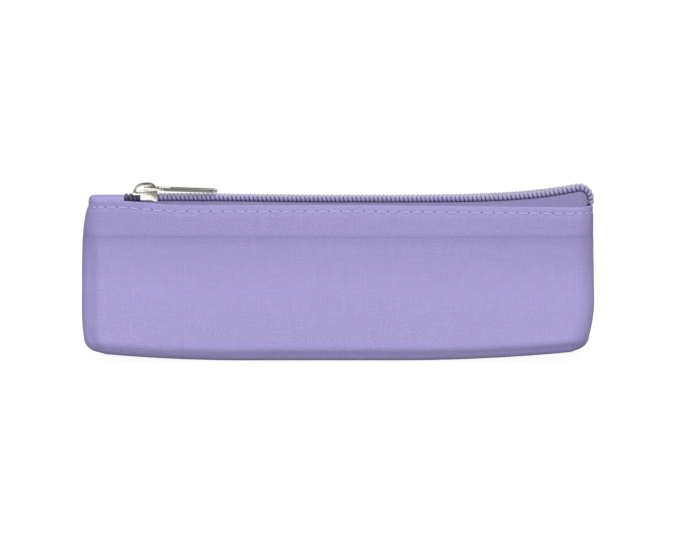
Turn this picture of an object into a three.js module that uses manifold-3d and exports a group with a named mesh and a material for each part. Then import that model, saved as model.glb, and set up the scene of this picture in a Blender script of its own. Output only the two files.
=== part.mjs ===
// Insulated zip pouch that keeps insulin pens cool: woven cloth walls over foam and a foil lining,
// closed along the top by a nylon coil zip with a metal slider and pull.
// Millimetres, +Z up, +X along the length. The front faces -Y and the pouch stands on Z = 0.
import * as THREE from 'three';
import { mergeVertices } from 'three/addons/utils/BufferGeometryUtils.js';
import Module from 'manifold-3d';

const wasm = await Module();
wasm.setup();

// Cloth body
const length = 200; // over both ends, at their widest
const baseDepth = 35; // front to back, above the bottom roll
const lipHeight = 60.2; // front fold beside the zip, at mid length
const cornerRadius = 9; // upright corners, seen from above
const mouthStraight = 1.6; // half of the straight part of an end wall, at the lips
const rollRadius = 5.5; // round bottom edge
const wallBulge = 1.6; // how far the walls belly out
const leftTaper = 2.6; // how far the left end draws in at the top
const rightTaper = 0.6; // and the right end
const rightTuck = 3.2; // how far the right end draws in at the bottom
const rightTuckHeight = 24; // below this height
const leftLipRise = 1.8; // the lips climb to the end tab
const leftLipRun = 40; // that climb starts this far from the left end
const rightLipDrop = 0.8; // the lips fall to the right end
const endLipDrop = 1.5; // the end walls stop this far below the lips
const leftFloorRise = 2.4; // the floor curls up at the ends
const leftFloorRun = 60; // over this length
const rightFloorRise = 3.8;
const rightFloorRun = 75;

// Cloth, foam and lining sheets
const clothThickness = 0.7;
const foamThickness = 2.2;
const liningThickness = 0.4;
const sheetGap = 0.3; // between two sheets that lie on each other
const seamGap = 0.4; // between two sheets that meet edge to edge
const foamTop = 47.5; // the foam ends here, and its edge shows as a crease
const creaseStep = 0.6; // the wall draws in above the foam
const creaseHeight = 4; // over this height
const liningDrop = 3.7; // the lining stops this far below the lips
const bindingWidth = 5;
const bindingThickness = 0.6;
const bindingStart = 26; // height of its lower end, clear of the front wall as it swings out

// Zip
const tapeThickness = 0.5;
const tapeSeam = 5; // tape turned down behind the lip
const tapeTuck = 0.6; // the tape's fold lies this far below the lip
const tapeTaper = 9; // the tape narrows over this length to pass over the right end
const wireDiameter = 0.8;
const coilWidth = 3;
const coilHeight = 2.4;
const coilOverlap = 1; // how far the two coils reach into each other
const coilsPerSide = 45;
const chainStartInset = 18.5; // from the left end of the pouch to the coils
const chainArcRadius = 4.2; // the coils turn down over the right end
const chainEndInset = 2; // from the right end of the pouch to the coils' middle line
const chainTail = 1.8; // straight piece after that turn
const chainLift = 0.6; // tape under the chain above its fold at the lip, at mid length
const leftChainRise = 0.55; // the chain lies higher on the left than in the middle
const rightChainRise = 4.2; // and climbs to the right end
const rightChainPower = 5; // of that climb, most of which lies near the end
const stopLength = 2;
const stopWall = 0.6;
const tabLength = 12.7;
const tabThickness = 0.8;
const tabCorner = 3;

// Slider and pull
const sliderLength = 10.2;
const sliderAhead = 6.1; // from the coils' left end to the closed slider's middle
const plateThickness = 1;
const flangeThickness = 0.7;
const slotHeight = 1; // for the tape, above the lower plate
const runClearance = 0.25; // between the slider and what runs through it
const wedgeHalfWidth = 0.8;
const partRun = 6.5; // the coils part over this length
const flareLength = 5; // from the rear channel to the shoulder
const shoulderLength = 2.6;
const openShoulder = 3.7; // the flanges start this far behind the nose, where the tapes come in
const bridgeWidth = 2.2;
const bridgeRise = 3.5;
const bridgeThickness = 1.1;
const bridgeCrown = 1.6; // ahead of the slider's middle
const mouthClearance = 0.45; // between the slider's shoulder and the tapes
const pullLength = 28.3; // from the pin to the tip
const pullThickness = 1.2;
const pullWidth = 6.6;
const eyeWidth = 5.4;
const eyeGap = 3; // inside the eye
const eyeReach = 5.3; // from the pin to the far end of the eye's hole
const pinHeight = 1.15; // above the slider's upper plate
const pinAhead = 0.2; // ahead of the slider's middle
const pullTilt = 1.9; // degrees, tip down
const pullRecess = 0.25;
const pullBorder = 1;

// Cold pack
const packLength = 150;
const packTop = 45.5;
const packBottom = 7;
const packThickness = 5;
const packEdge = 0.8;

// Faces along each curve
const frontSteps = 14;
const cornerSteps = 4;
const endSteps = 2;
const rollSteps = 3;
const wallSteps = 3;
const curlSteps = 8;
const wireSides = 5;

// Sizes that follow
const coilReach = coilWidth / 2;
const meshedOffset = coilReach - coilOverlap / 2;
const partedOffset = wedgeHalfWidth + runClearance + coilReach;
const rearHalf = meshedOffset + coilReach + runClearance + flangeThickness;
const shoulderHalf = partedOffset + coilReach + runClearance + flangeThickness;
const tapeInset = clothThickness + sheetGap + tapeThickness / 2;
const mouthHalf = shoulderHalf + mouthClearance + tapeThickness / 2 + tapeInset + creaseStep;
const foamInset = clothThickness + sheetGap;
const thickLiningInset = foamInset + foamThickness + sheetGap;
const thinLiningInset = foamInset + tapeThickness + sheetGap;
const halfLength = length / 2;
const leftLipStart = halfLength - leftLipRun;
const leftFloorFlat = halfLength - leftFloorRun;
const rightFloorFlat = halfLength - rightFloorRun;
const chainLeft = chainStartInset - halfLength;
const sliderMiddle = chainLeft + sliderAhead;
const halfBase = baseDepth / 2;
const lowestChain = lipHeight - tapeTuck + chainLift;
const tapeToAxis = tapeThickness / 2 + sheetGap + coilHeight / 2;

const clamp01 = (v) => Math.min(1, Math.max(0, v));
const mix = (a, b, f) => a + (b - a) * f;

function smooth(from, to, v) {
  const f = clamp01((v - from) / (to - from));
  return f * f * (3 - 2 * f);
}

// Cloth colours and metals
const finish = (color, roughness, metalness = 0) => new THREE.MeshStandardMaterial({ color, roughness, metalness });
const lavenderCloth = finish(0xa89ed1, 0.85);
const lavenderTape = finish(0x8f86b4, 0.8);
const lavenderCoil = finish(0x857ca3, 0.45);
const whiteFoam = finish(0xf1f0ec, 0.95);
const silverFoil = finish(0xc9ccd1, 0.3, 0.8);
const greyBinding = finish(0x8c88a0, 0.85);
const nickel = finish(0xd1d0cc, 0.25, 1);
const gelFilm = finish(0xbfd6e6, 0.35);

const pouch = new THREE.Group();

function addPart(name, geometry, material) {
  const mesh = new THREE.Mesh(geometry, material);
  mesh.name = name;
  pouch.add(mesh);
  return mesh;
}

// Closed body between two grids of points: upper[i][j] faces the side that (i, j) turn about.
function closedSheet(upper, lower) {
  const columns = upper.length;
  const rows = upper[0].length;
  const positions = [...upper.flat(), ...lower.flat()].flatMap((p) => [p.x, p.y, p.z]);
  const up = (i, j) => i * rows + j;
  const down = (i, j) => columns * rows + i * rows + j;
  const index = [];
  const quad = (a, b, c, d) => index.push(a, b, c, a, c, d);
  for (let i = 0; i + 1 < columns; i += 1) {
    for (let j = 0; j + 1 < rows; j += 1) {
      quad(up(i, j), up(i + 1, j), up(i + 1, j + 1), up(i, j + 1));
      quad(down(i, j), down(i, j + 1), down(i + 1, j + 1), down(i + 1, j));
    }
    quad(up(i, 0), down(i, 0), down(i + 1, 0), up(i + 1, 0));
    quad(up(i, rows - 1), up(i + 1, rows - 1), down(i + 1, rows - 1), down(i, rows - 1));
  }
  for (let j = 0; j + 1 < rows; j += 1) {
    quad(up(0, j), up(0, j + 1), down(0, j + 1), down(0, j));
    quad(up(columns - 1, j), down(columns - 1, j), down(columns - 1, j + 1), up(columns - 1, j + 1));
  }
  const geometry = new THREE.BufferGeometry();
  geometry.setAttribute('position', new THREE.Float32BufferAttribute(positions, 3));
  geometry.setIndex(index);
  geometry.computeVertexNormals();
  return geometry;
}

// The same body on the other side of the pouch's middle plane.
function mirrored(geometry) {
  const twin = geometry.clone();
  const position = twin.getAttribute('position');
  for (let i = 0; i < position.count; i += 1) position.setY(i, -position.getY(i));
  const index = Array.from(twin.getIndex().array);
  for (let i = 0; i < index.length; i += 3) [index[i], index[i + 1]] = [index[i + 1], index[i]];
  twin.setIndex(index);
  twin.computeVertexNormals();
  return twin;
}

function toSolid(geometry) {
  const plain = geometry.clone();
  plain.deleteAttribute('normal');
  plain.deleteAttribute('uv');
  const merged = mergeVertices(plain, 1e-4);
  return new wasm.Manifold(new wasm.Mesh({
    numProp: 3,
    vertProperties: new Float32Array(merged.getAttribute('position').array),
    triVerts: new Uint32Array(merged.getIndex().array),
  }));
}

function fromSolid(solid) {
  const mesh = solid.getMesh();
  const geometry = new THREE.BufferGeometry();
  geometry.setAttribute('position', new THREE.Float32BufferAttribute(mesh.vertProperties, 3));
  geometry.setIndex(Array.from(mesh.triVerts));
  geometry.computeVertexNormals();
  return geometry;
}

// Pouch surface: heights and widths of the body
function floorAt(x) {
  const left = clamp01((-x - leftFloorFlat) / (halfLength - leftFloorFlat));
  const right = clamp01((x - rightFloorFlat) / (halfLength - rightFloorFlat));
  return leftFloorRise * left ** 2 + rightFloorRise * right ** 2;
}

function lipAt(x) {
  const left = leftLipRise * smooth(leftLipStart, halfLength - tabLength, -x);
  return lipHeight + left - rightLipDrop * smooth(0, halfLength, x);
}

const wallShare = (z) => clamp01((z - rollRadius) / (lipHeight - rollRadius));
const depthAt = (z) => mix(halfBase, mouthHalf, wallShare(z));
const cornerAt = (z) => Math.min(cornerRadius, depthAt(z) - mouthStraight);
const creaseAt = (z) => creaseStep * smooth(foamTop - creaseHeight / 2, foamTop + creaseHeight / 2, z);

// How far each end reaches, less an inset.
function endsAt(z, inset) {
  const top = wallShare(z) ** 8;
  const bottom = clamp01((rightTuckHeight - z) / (rightTuckHeight - rollRadius)) ** 2;
  return {
    left: halfLength - leftTaper * top - inset,
    right: halfLength - rightTaper * top - rightTuck * bottom - inset,
  };
}

const plainEnds = { left: halfLength, right: halfLength };

function bulgeAt(x, z) {
  const share = wallShare(z);
  return wallBulge * 4 * share * (1 - share) * Math.max(0, 1 - (x / halfLength) ** 2) ** 2;
}

// Stations round the front half of the pouch, from the left side seam to the right one.
const stations = [];
for (let i = 0; i < endSteps; i += 1) stations.push({ side: -1, end: i / endSteps });
for (let i = 0; i < cornerSteps; i += 1) stations.push({ side: -1, turn: i / cornerSteps });
for (let i = 0; i <= frontSteps; i += 1) stations.push({ front: i / frontSteps });
for (let i = cornerSteps - 1; i >= 0; i -= 1) stations.push({ side: 1, turn: i / cornerSteps });
for (let i = endSteps - 1; i >= 0; i -= 1) stations.push({ side: 1, end: i / endSteps });

function planPoint(station, ends, depth, corner) {
  const reach = station.side < 0 ? ends.left : ends.right;
  if (station.front !== undefined) {
    return { x: mix(corner - ends.left, ends.right - corner, station.front), y: -depth };
  }
  if (station.turn !== undefined) {
    const angle = station.turn * Math.PI / 2;
    const x = station.side * (reach - corner + corner * Math.cos(angle));
    return { x, y: corner - depth - corner * Math.sin(angle) };
  }
  return { x: station.side * reach, y: mix(-seamGap / 2, corner - depth, station.end) };
}

// Upper edge of a wall: along the lip in front, lower on the ends.
function edgeAt(station, drop) {
  const x = planPoint(station, plainEnds, halfBase, cornerRadius).x;
  const onEnd = station.front !== undefined ? 0 : 1 - (station.turn ?? 0);
  return lipAt(x) - drop - endLipDrop * onEnd;
}

function bodyPoint(station, z, inset) {
  const corner = Math.max(cornerAt(z) - inset, sheetGap);
  const p = planPoint(station, endsAt(z, inset), depthAt(z) - inset, corner);
  const share = clamp01(p.y / (inset - depthAt(z)));
  return new THREE.Vector3(p.x, p.y - bulgeAt(p.x, z) * share, z);
}

function rollPoint(station, turn, inset) {
  const x = planPoint(station, plainEnds, halfBase, cornerRadius).x;
  const radius = rollRadius - inset;
  const p = bodyPoint(station, rollRadius, rollRadius - radius * Math.sin(turn));
  p.z = floorAt(x) + rollRadius - radius * Math.cos(turn);
  return p;
}

// One wall sheet: up the bottom roll, then through the listed heights.
function wallSheet(heightsAt, outerInset, innerInset) {
  const side = (insetAt) => stations.map((station) => {
    const x = planPoint(station, plainEnds, halfBase, cornerRadius).x;
    const column = [];
    for (let i = 0; i < rollSteps; i += 1) {
      column.push(rollPoint(station, i / rollSteps * Math.PI / 2, insetAt(0)));
    }
    for (const z of heightsAt(station, floorAt(x) + rollRadius)) {
      column.push(bodyPoint(station, z, insetAt(z) + creaseAt(z)));
    }
    return column;
  });
  return closedSheet(side(outerInset), side(innerInset));
}

const rise = (from, to, steps) => Array.from({ length: steps + 1 }, (_, i) => mix(from, to, i / steps));

function clothHeights(station, start) {
  const crease = [foamTop - creaseHeight / 2, foamTop, foamTop + creaseHeight / 2];
  const above = rise(crease[2], edgeAt(station, 0), 2).slice(1);
  return [...rise(start, crease[0], wallSteps), crease[1], crease[2], ...above];
}

function foamHeights(station, start) {
  const crease = foamTop - creaseHeight / 2;
  return [...rise(start, crease, wallSteps), foamTop];
}

// The lining lies on the foam and closes up to the tape above it.
const liningClose = foamTop + creaseHeight;
const liningInset = (z) => mix(thickLiningInset, thinLiningInset, smooth(foamTop + sheetGap, liningClose, z));

function liningHeights(station, start) {
  const above = rise(liningClose, edgeAt(station, liningDrop), 1);
  const below = rise(start, foamTop - creaseHeight / 2, wallSteps);
  return [...below, foamTop + sheetGap, mix(foamTop, liningClose, 0.5), ...above];
}

const clothWall = wallSheet(clothHeights, () => 0, () => clothThickness);
addPart('outer_front_panel', clothWall, lavenderCloth);
addPart('outer_back_panel', mirrored(clothWall), lavenderCloth);
const foamWall = wallSheet(foamHeights, () => foamInset, () => foamInset + foamThickness);
addPart('foam_front', foamWall, whiteFoam);
addPart('foam_back', mirrored(foamWall), whiteFoam);
const liningWall = wallSheet(liningHeights, liningInset, (z) => liningInset(z) + liningThickness);
addPart('lining_front', liningWall, silverFoil);
addPart('lining_back', mirrored(liningWall), silverFoil);

// Floor sheets: flat in the middle, curled up at the ends, with round corners.
function floorSheet(bottom, thickness) {
  const ends = endsAt(rollRadius, rollRadius + seamGap);
  const half = halfBase - rollRadius - seamGap;
  const corner = cornerRadius - rollRadius - seamGap;
  const bends = rise(0, Math.PI / 2, 3).slice(1).map((angle) => corner - corner * Math.sin(angle));
  const inside = rise(-leftFloorFlat, rightFloorFlat, 2);
  const left = rise(corner - ends.left, -leftFloorFlat, 3);
  const right = rise(rightFloorFlat, ends.right - corner, 5);
  const xs = [...bends.map((bend) => bend - ends.left).reverse(), ...left.slice(0, -1), ...inside.slice(0, -1)];
  xs.push(...right, ...bends.map((bend) => ends.right - bend));
  const halfAt = (x) => {
    const over = Math.max(0, corner - ends.left - x, x + corner - ends.right);
    return half - corner + Math.sqrt(Math.max(0, corner ** 2 - over ** 2));
  };
  const face = (height) => xs.map((x) => [-1, 0, 1].map((f) => (
    new THREE.Vector3(x, f * halfAt(x), floorAt(x) + height))));
  return closedSheet(face(bottom + thickness), face(bottom));
}

addPart('outer_base_panel', floorSheet(0, clothThickness), lavenderCloth);
addPart('foam_base', floorSheet(foamInset, foamThickness), whiteFoam);
addPart('lining_base', floorSheet(thickLiningInset, liningThickness), silverFoil);

// Binding strips over the two side seams, inside the lining.
function bindingStrip(side) {
  const zs = [
    ...rise(bindingStart, foamTop - creaseHeight / 2, wallSteps),
    foamTop + sheetGap,
    mix(foamTop, liningClose, 0.5),
    liningClose,
    lipHeight - rightLipDrop - liningDrop - endLipDrop,
  ];
  const ys = [-bindingWidth / 2, 0, bindingWidth / 2];
  const face = (lift) => zs.map((z) => ys.map((y) => {
    const inset = liningInset(z) + liningThickness + creaseAt(z) + sheetGap + lift;
    const ends = endsAt(z, inset);
    return new THREE.Vector3(side < 0 ? -ends.left : ends.right, y, z);
  }));
  return side < 0
    ? closedSheet(face(0), face(bindingThickness))
    : closedSheet(face(bindingThickness), face(0));
}

addPart('seam_binding_left', bindingStrip(-1), greyBinding);
addPart('seam_binding_right', bindingStrip(1), greyBinding);

// Cold pack: a pillow of gel film that stands against the back lining.
function packFace(crowned) {
  return rise(-1, 1, 14).map((u) => rise(-1, 1, 6).map((v) => {
    const x = u * packLength / 2;
    const z = mix(packBottom, packTop, (v + 1) / 2);
    const crown = Math.sqrt((1 - u ** 6) * (1 - v ** 4));
    const wall = depthAt(z) + bulgeAt(x, z) - creaseAt(z) - liningInset(z) - liningThickness;
    const depth = crowned ? packEdge + (packThickness - packEdge) * crown : 0;
    return new THREE.Vector3(x, wall - sheetGap - depth, z);
  }));
}

addPart('gel_pack', closedSheet(packFace(true), packFace(false)), gelFilm);

// Chain: the middle line of the coils, by distance from their left end.
const arcStart = halfLength - rightTaper - chainEndInset - chainArcRadius;
const arcSlope = Math.atan(rightChainPower * rightChainRise / arcStart);
const arcRun = chainArcRadius * (arcSlope + Math.PI / 2);
const chainRun = arcStart - chainLeft + arcRun + chainTail;

function chainHeight(x) {
  const left = leftChainRise * smooth(0, leftLipStart, -x);
  const right = rightChainRise * Math.max(0, x / arcStart) ** rightChainPower;
  return lowestChain + tapeToAxis + left + right;
}

function chainAt(run) {
  const x = chainLeft + run;
  if (x <= arcStart) {
    const share = Math.max(0, x / arcStart);
    const slope = rightChainPower * rightChainRise * share ** (rightChainPower - 1) / arcStart;
    return { x, z: chainHeight(x), heading: Math.atan(slope) };
  }
  const past = Math.min(x - arcStart, arcRun);
  const heading = arcSlope - past / chainArcRadius;
  const hubX = arcStart + chainArcRadius * Math.sin(arcSlope);
  const hubZ = chainHeight(arcStart) - chainArcRadius * Math.cos(arcSlope);
  const tail = Math.max(0, x - arcStart - arcRun);
  return {
    x: hubX - chainArcRadius * Math.sin(heading),
    z: hubZ + chainArcRadius * Math.cos(heading) - tail,
    heading,
  };
}

// The two coils mesh behind the slider and part round its wedge.
const partStart = sliderMiddle + sliderLength / 2 - shoulderLength;
const offsetAt = (x) => mix(partedOffset, meshedOffset, smooth(partStart - partRun, partStart, x));

function coilPoint(side, turns, pitch) {
  const at = chainAt(turns * pitch);
  const angle = turns * 2 * Math.PI;
  const wide = (coilWidth - wireDiameter) / 2;
  const high = (coilHeight - wireDiameter) / 2;
  const lift = high * Math.sin(angle);
  return new THREE.Vector3(
    at.x - Math.sin(at.heading) * lift,
    side * offsetAt(at.x) + wide * Math.cos(angle),
    at.z + Math.cos(at.heading) * lift,
  );
}

function wireTube(points) {
  const radius = wireDiameter / 2;
  const last = points.length - 1;
  let normal = new THREE.Vector3(0, 1, 0);
  const positions = [];
  points.forEach((point, i) => {
    const tangent = points[Math.min(i + 1, last)].clone().sub(points[Math.max(i - 1, 0)]).normalize();
    normal = normal.clone().addScaledVector(tangent, -normal.dot(tangent)).normalize();
    const across = tangent.clone().cross(normal);
    for (let k = 0; k < wireSides; k += 1) {
      const angle = k / wireSides * 2 * Math.PI;
      const p = point.clone().addScaledVector(normal, radius * Math.cos(angle));
      positions.push(...p.addScaledVector(across, radius * Math.sin(angle)).toArray());
    }
  });
  const index = [];
  for (let i = 0; i < last; i += 1) {
    for (let k = 0; k < wireSides; k += 1) {
      const a = i * wireSides + k;
      const b = i * wireSides + (k + 1) % wireSides;
      index.push(a, b, b + wireSides, a, b + wireSides, a + wireSides);
    }
  }
  for (let k = 1; k + 1 < wireSides; k += 1) {
    index.push(0, k + 1, k);
    index.push(last * wireSides, last * wireSides + k, last * wireSides + k + 1);
  }
  const geometry = new THREE.BufferGeometry();
  geometry.setAttribute('position', new THREE.Float32BufferAttribute(positions, 3));
  geometry.setIndex(index);
  geometry.computeVertexNormals();
  return geometry;
}

// Least free space between one turn of a wire and the turns beside it.
function leastGap(points) {
  let least = Infinity;
  points.forEach((p, i) => {
    for (let j = i + Math.ceil(curlSteps * 0.6); j < Math.min(points.length, i + 3 * curlSteps); j += 1) {
      least = Math.min(least, p.distanceTo(points[j]) - wireDiameter);
    }
  });
  return least;
}

function coil(side) {
  const pitch = chainRun / coilsPerSide;
  const turns = rise(0, coilsPerSide, coilsPerSide * curlSteps);
  const points = turns.map((turn) => coilPoint(side, turn, pitch));
  const first = points[0].clone().sub(points[1]).setLength(wireDiameter).add(points[0]);
  const end = points.at(-1).clone().sub(points.at(-2)).setLength(wireDiameter).add(points.at(-1));
  const wire = [first, ...points, end];
  console.log(`coil ${side < 0 ? 'front' : 'back'}: least gap to itself ${leastGap(wire).toFixed(2)} mm`);
  return wireTube(wire);
}

addPart('zip_coil_front', coil(-1), lavenderCoil);
addPart('zip_coil_back', coil(1), lavenderCoil);

// Zip tape: flat under the coil, down to the lip, then turned down behind the cloth.
const tapeLeft = -(halfLength - leftTaper - clothThickness - sheetGap - mouthStraight);
const tapeNarrow = arcStart - tapeTaper;

function lipSide(x, z, inset) {
  const ends = endsAt(z, inset);
  const corner = cornerAt(z) - inset;
  const over = Math.max(0, corner - ends.left - x, x + corner - ends.right);
  const turned = corner - Math.sqrt(Math.max(0, corner ** 2 - over ** 2));
  return depthAt(z) - inset - turned + bulgeAt(x, z) - creaseAt(z);
}

function tapeSection(run, lift) {
  const at = chainAt(run);
  const down = lift - tapeToAxis;
  const x = at.x - Math.sin(at.heading) * down;
  const z = at.z + Math.cos(at.heading) * down;
  const inner = offsetAt(at.x) - coilReach + coilOverlap / 2 + sheetGap;
  const full = 1 - smooth(tapeNarrow, arcStart, chainLeft + run);
  const foldZ = Math.min(lipAt(at.x) - tapeTuck, at.z - tapeToAxis);
  const seamZ = foldZ - tapeSeam;
  const foldY = lipSide(at.x, foldZ, tapeInset);
  const flat = offsetAt(at.x) + coilReach + runClearance;
  const bend = mix(flat, Math.min(flat, foldY - 2 * tapeThickness), full);
  const narrow = { y: bend + tapeThickness, z };
  const fold = {
    y: mix(narrow.y, foldY + lift, full),
    z: mix(narrow.z, foldZ + lift, full),
  };
  const hem = {
    y: mix(narrow.y + tapeThickness, lipSide(at.x, seamZ, tapeInset) + lift, full),
    z: mix(narrow.z, seamZ, full),
  };
  return [
    new THREE.Vector3(x, -inner, z),
    new THREE.Vector3(x, -bend, z),
    new THREE.Vector3(x, -fold.y, fold.z),
    new THREE.Vector3(x, -hem.y, hem.z),
  ];
}

function zipTape() {
  const sliderRun = sliderAhead + sliderLength;
  const runs = [
    ...rise(tapeLeft - chainLeft, 0, 7).slice(0, -1),
    ...rise(0, sliderRun, 6).slice(0, -1),
    ...rise(sliderRun, tapeNarrow - chainLeft, 12).slice(0, -1),
    ...rise(tapeNarrow - chainLeft, arcStart - chainLeft, 4).slice(0, -1),
    ...rise(arcStart - chainLeft, chainRun, 6),
  ];
  const face = (lift) => runs.map((run) => tapeSection(run, lift));
  return closedSheet(face(-tapeThickness / 2), face(tapeThickness / 2));
}

const tape = zipTape();
addPart('zip_tape_front', tape, lavenderTape);
addPart('zip_tape_back', mirrored(tape), lavenderTape);

// Crimped stops: a channel round the edge of each tape, just left of the coil.
function topStop() {
  const slot = tapeThickness + 2 * sheetGap;
  const wide = coilReach + stopWall;
  const high = slot + 2 * stopWall;
  const shape = new THREE.Shape();
  shape.moveTo(0, -high / 2);
  shape.lineTo(0, high / 2);
  shape.lineTo(-wide, high / 2);
  shape.lineTo(-wide, slot / 2);
  shape.lineTo(-stopWall, slot / 2);
  shape.lineTo(-stopWall, -slot / 2);
  shape.lineTo(-wide, -slot / 2);
  shape.lineTo(-wide, -high / 2);
  const geometry = new THREE.ExtrudeGeometry(shape, { depth: stopLength, bevelEnabled: false });
  geometry.rotateX(Math.PI / 2);
  geometry.rotateZ(Math.PI / 2);
  const at = chainAt(0);
  const edge = offsetAt(at.x) - coilReach + coilOverlap / 2 + sheetGap;
  const x = chainLeft - 2 * wireDiameter - stopLength;
  return geometry.translate(x, -(edge - sheetGap - stopWall), at.z - tapeToAxis);
}

const stop = mergeVertices(topStop().deleteAttribute('normal').deleteAttribute('uv'), 1e-4);
addPart('zip_top_stop_front', stop, nickel);
addPart('zip_top_stop_back', mirrored(stop), nickel);

// Cloth tab across the lips at the left end of the zip.
function roundedPlate(long, wide, corner, thick) {
  const shape = new THREE.Shape();
  shape.moveTo(corner - long / 2, -wide / 2);
  shape.lineTo(long / 2, -wide / 2);
  shape.lineTo(long / 2, wide / 2);
  shape.lineTo(corner - long / 2, wide / 2);
  shape.absarc(corner - long / 2, wide / 2 - corner, corner, Math.PI / 2, Math.PI, false);
  shape.absarc(corner - long / 2, corner - wide / 2, corner, Math.PI, 1.5 * Math.PI, false);
  return new THREE.ExtrudeGeometry(shape, { depth: thick, bevelEnabled: false, curveSegments: 6 });
}

const tabWide = 2 * (mouthHalf - clothThickness - creaseStep);
const tabMiddle = -(halfLength - leftTaper - clothThickness) + tabLength / 2;
const tab = roundedPlate(tabLength, tabWide, tabCorner, tabThickness);
addPart('zip_end_tab', tab, lavenderCloth).position.set(tabMiddle, 0, lipHeight + leftLipRise + sheetGap);

// Slider: two plates on a dividing wedge, with side flanges and a bridge for the pull.
const tapeUnder = chainAt(sliderMiddle - chainLeft).z - tapeToAxis - tapeThickness / 2;
const sliderRest = tapeUnder - runClearance - plateThickness;
const channelHeight = runClearance + tapeThickness + sheetGap + coilHeight + runClearance;
const sliderHeight = channelHeight + 2 * plateThickness;

// Half of the plan, shoulder to the left, narrowed by an inset and run past both ends by an overrun.
function sliderPlan(inset, overrun) {
  const rear = sliderLength / 2;
  const flareEnd = shoulderLength - rear;
  const flareStart = flareEnd + flareLength;
  const shape = new THREE.Shape();
  shape.moveTo(rear + overrun, inset - rearHalf);
  shape.lineTo(rear + overrun, rearHalf - inset);
  shape.lineTo(flareStart, rearHalf - inset);
  shape.lineTo(flareEnd, shoulderHalf - inset);
  if (overrun > 0) {
    shape.lineTo(-rear - overrun, shoulderHalf - inset);
    shape.lineTo(-rear - overrun, inset - shoulderHalf);
  } else {
    shape.quadraticCurveTo(-rear, shoulderHalf, -rear, shoulderHalf - shoulderLength);
    shape.lineTo(-rear + plateThickness, 0);
    shape.lineTo(-rear, shoulderLength - shoulderHalf);
    shape.quadraticCurveTo(-rear, -shoulderHalf, flareEnd, inset - shoulderHalf);
  }
  shape.lineTo(flareEnd, inset - shoulderHalf);
  shape.lineTo(flareStart, inset - rearHalf);
  return shape;
}

const raised = (shape, from, height) => toSolid(new THREE.ExtrudeGeometry(shape, {
  depth: height, bevelEnabled: false, curveSegments: 5,
}).translate(0, 0, from));

function wedgePlan() {
  const nose = plateThickness + runClearance - sliderLength / 2;
  const shape = new THREE.Shape();
  shape.moveTo(nose - runClearance, 0);
  shape.lineTo(nose + wedgeHalfWidth, -wedgeHalfWidth);
  shape.lineTo(nose + wedgeHalfWidth + shoulderLength, 0);
  shape.lineTo(nose + wedgeHalfWidth, wedgeHalfWidth);
  return shape;
}

function bridge() {
  const left = -sliderLength / 2 + 0.5;
  const right = sliderLength / 2 - 0.4;
  const sunk = -0.3;
  const crown = bridgeRise;
  const under = bridgeRise - bridgeThickness;
  const shape = new THREE.Shape();
  shape.moveTo(left, sunk);
  shape.quadraticCurveTo(left + 0.4, crown, bridgeCrown - 0.6, crown);
  shape.quadraticCurveTo(right, crown, right, sunk);
  shape.lineTo(right - 1.4 * bridgeThickness, sunk);
  shape.quadraticCurveTo(right - 1.4 * bridgeThickness, under, bridgeCrown - 0.6, under);
  shape.quadraticCurveTo(left + 1.1, under, left + bridgeThickness, sunk);
  const strap = new THREE.ExtrudeGeometry(shape, { depth: bridgeWidth, bevelEnabled: false, curveSegments: 6 });
  strap.rotateX(Math.PI / 2);
  return toSolid(strap.translate(0, bridgeWidth / 2, sliderHeight));
}

function slider() {
  const block = raised(sliderPlan(0, 0), 0, sliderHeight);
  const channel = raised(sliderPlan(flangeThickness, 1), plateThickness, channelHeight);
  const slot = new THREE.BoxGeometry(2 * sliderLength, 4 * shoulderHalf, slotHeight);
  const slotCut = toSolid(slot.translate(0, 0, plateThickness + slotHeight / 2));
  const mouth = new THREE.BoxGeometry(2 * openShoulder, 4 * shoulderHalf, channelHeight);
  const mouthCut = toSolid(mouth.translate(-sliderLength / 2, 0, plateThickness + channelHeight / 2));
  const wedge = raised(wedgePlan(), plateThickness / 2, channelHeight + plateThickness);
  return fromSolid(block.subtract(channel).subtract(slotCut).subtract(mouthCut).add(wedge).add(bridge()));
}

addPart('zip_slider', slider(), nickel).position.set(sliderMiddle, 0, sliderRest);

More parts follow.
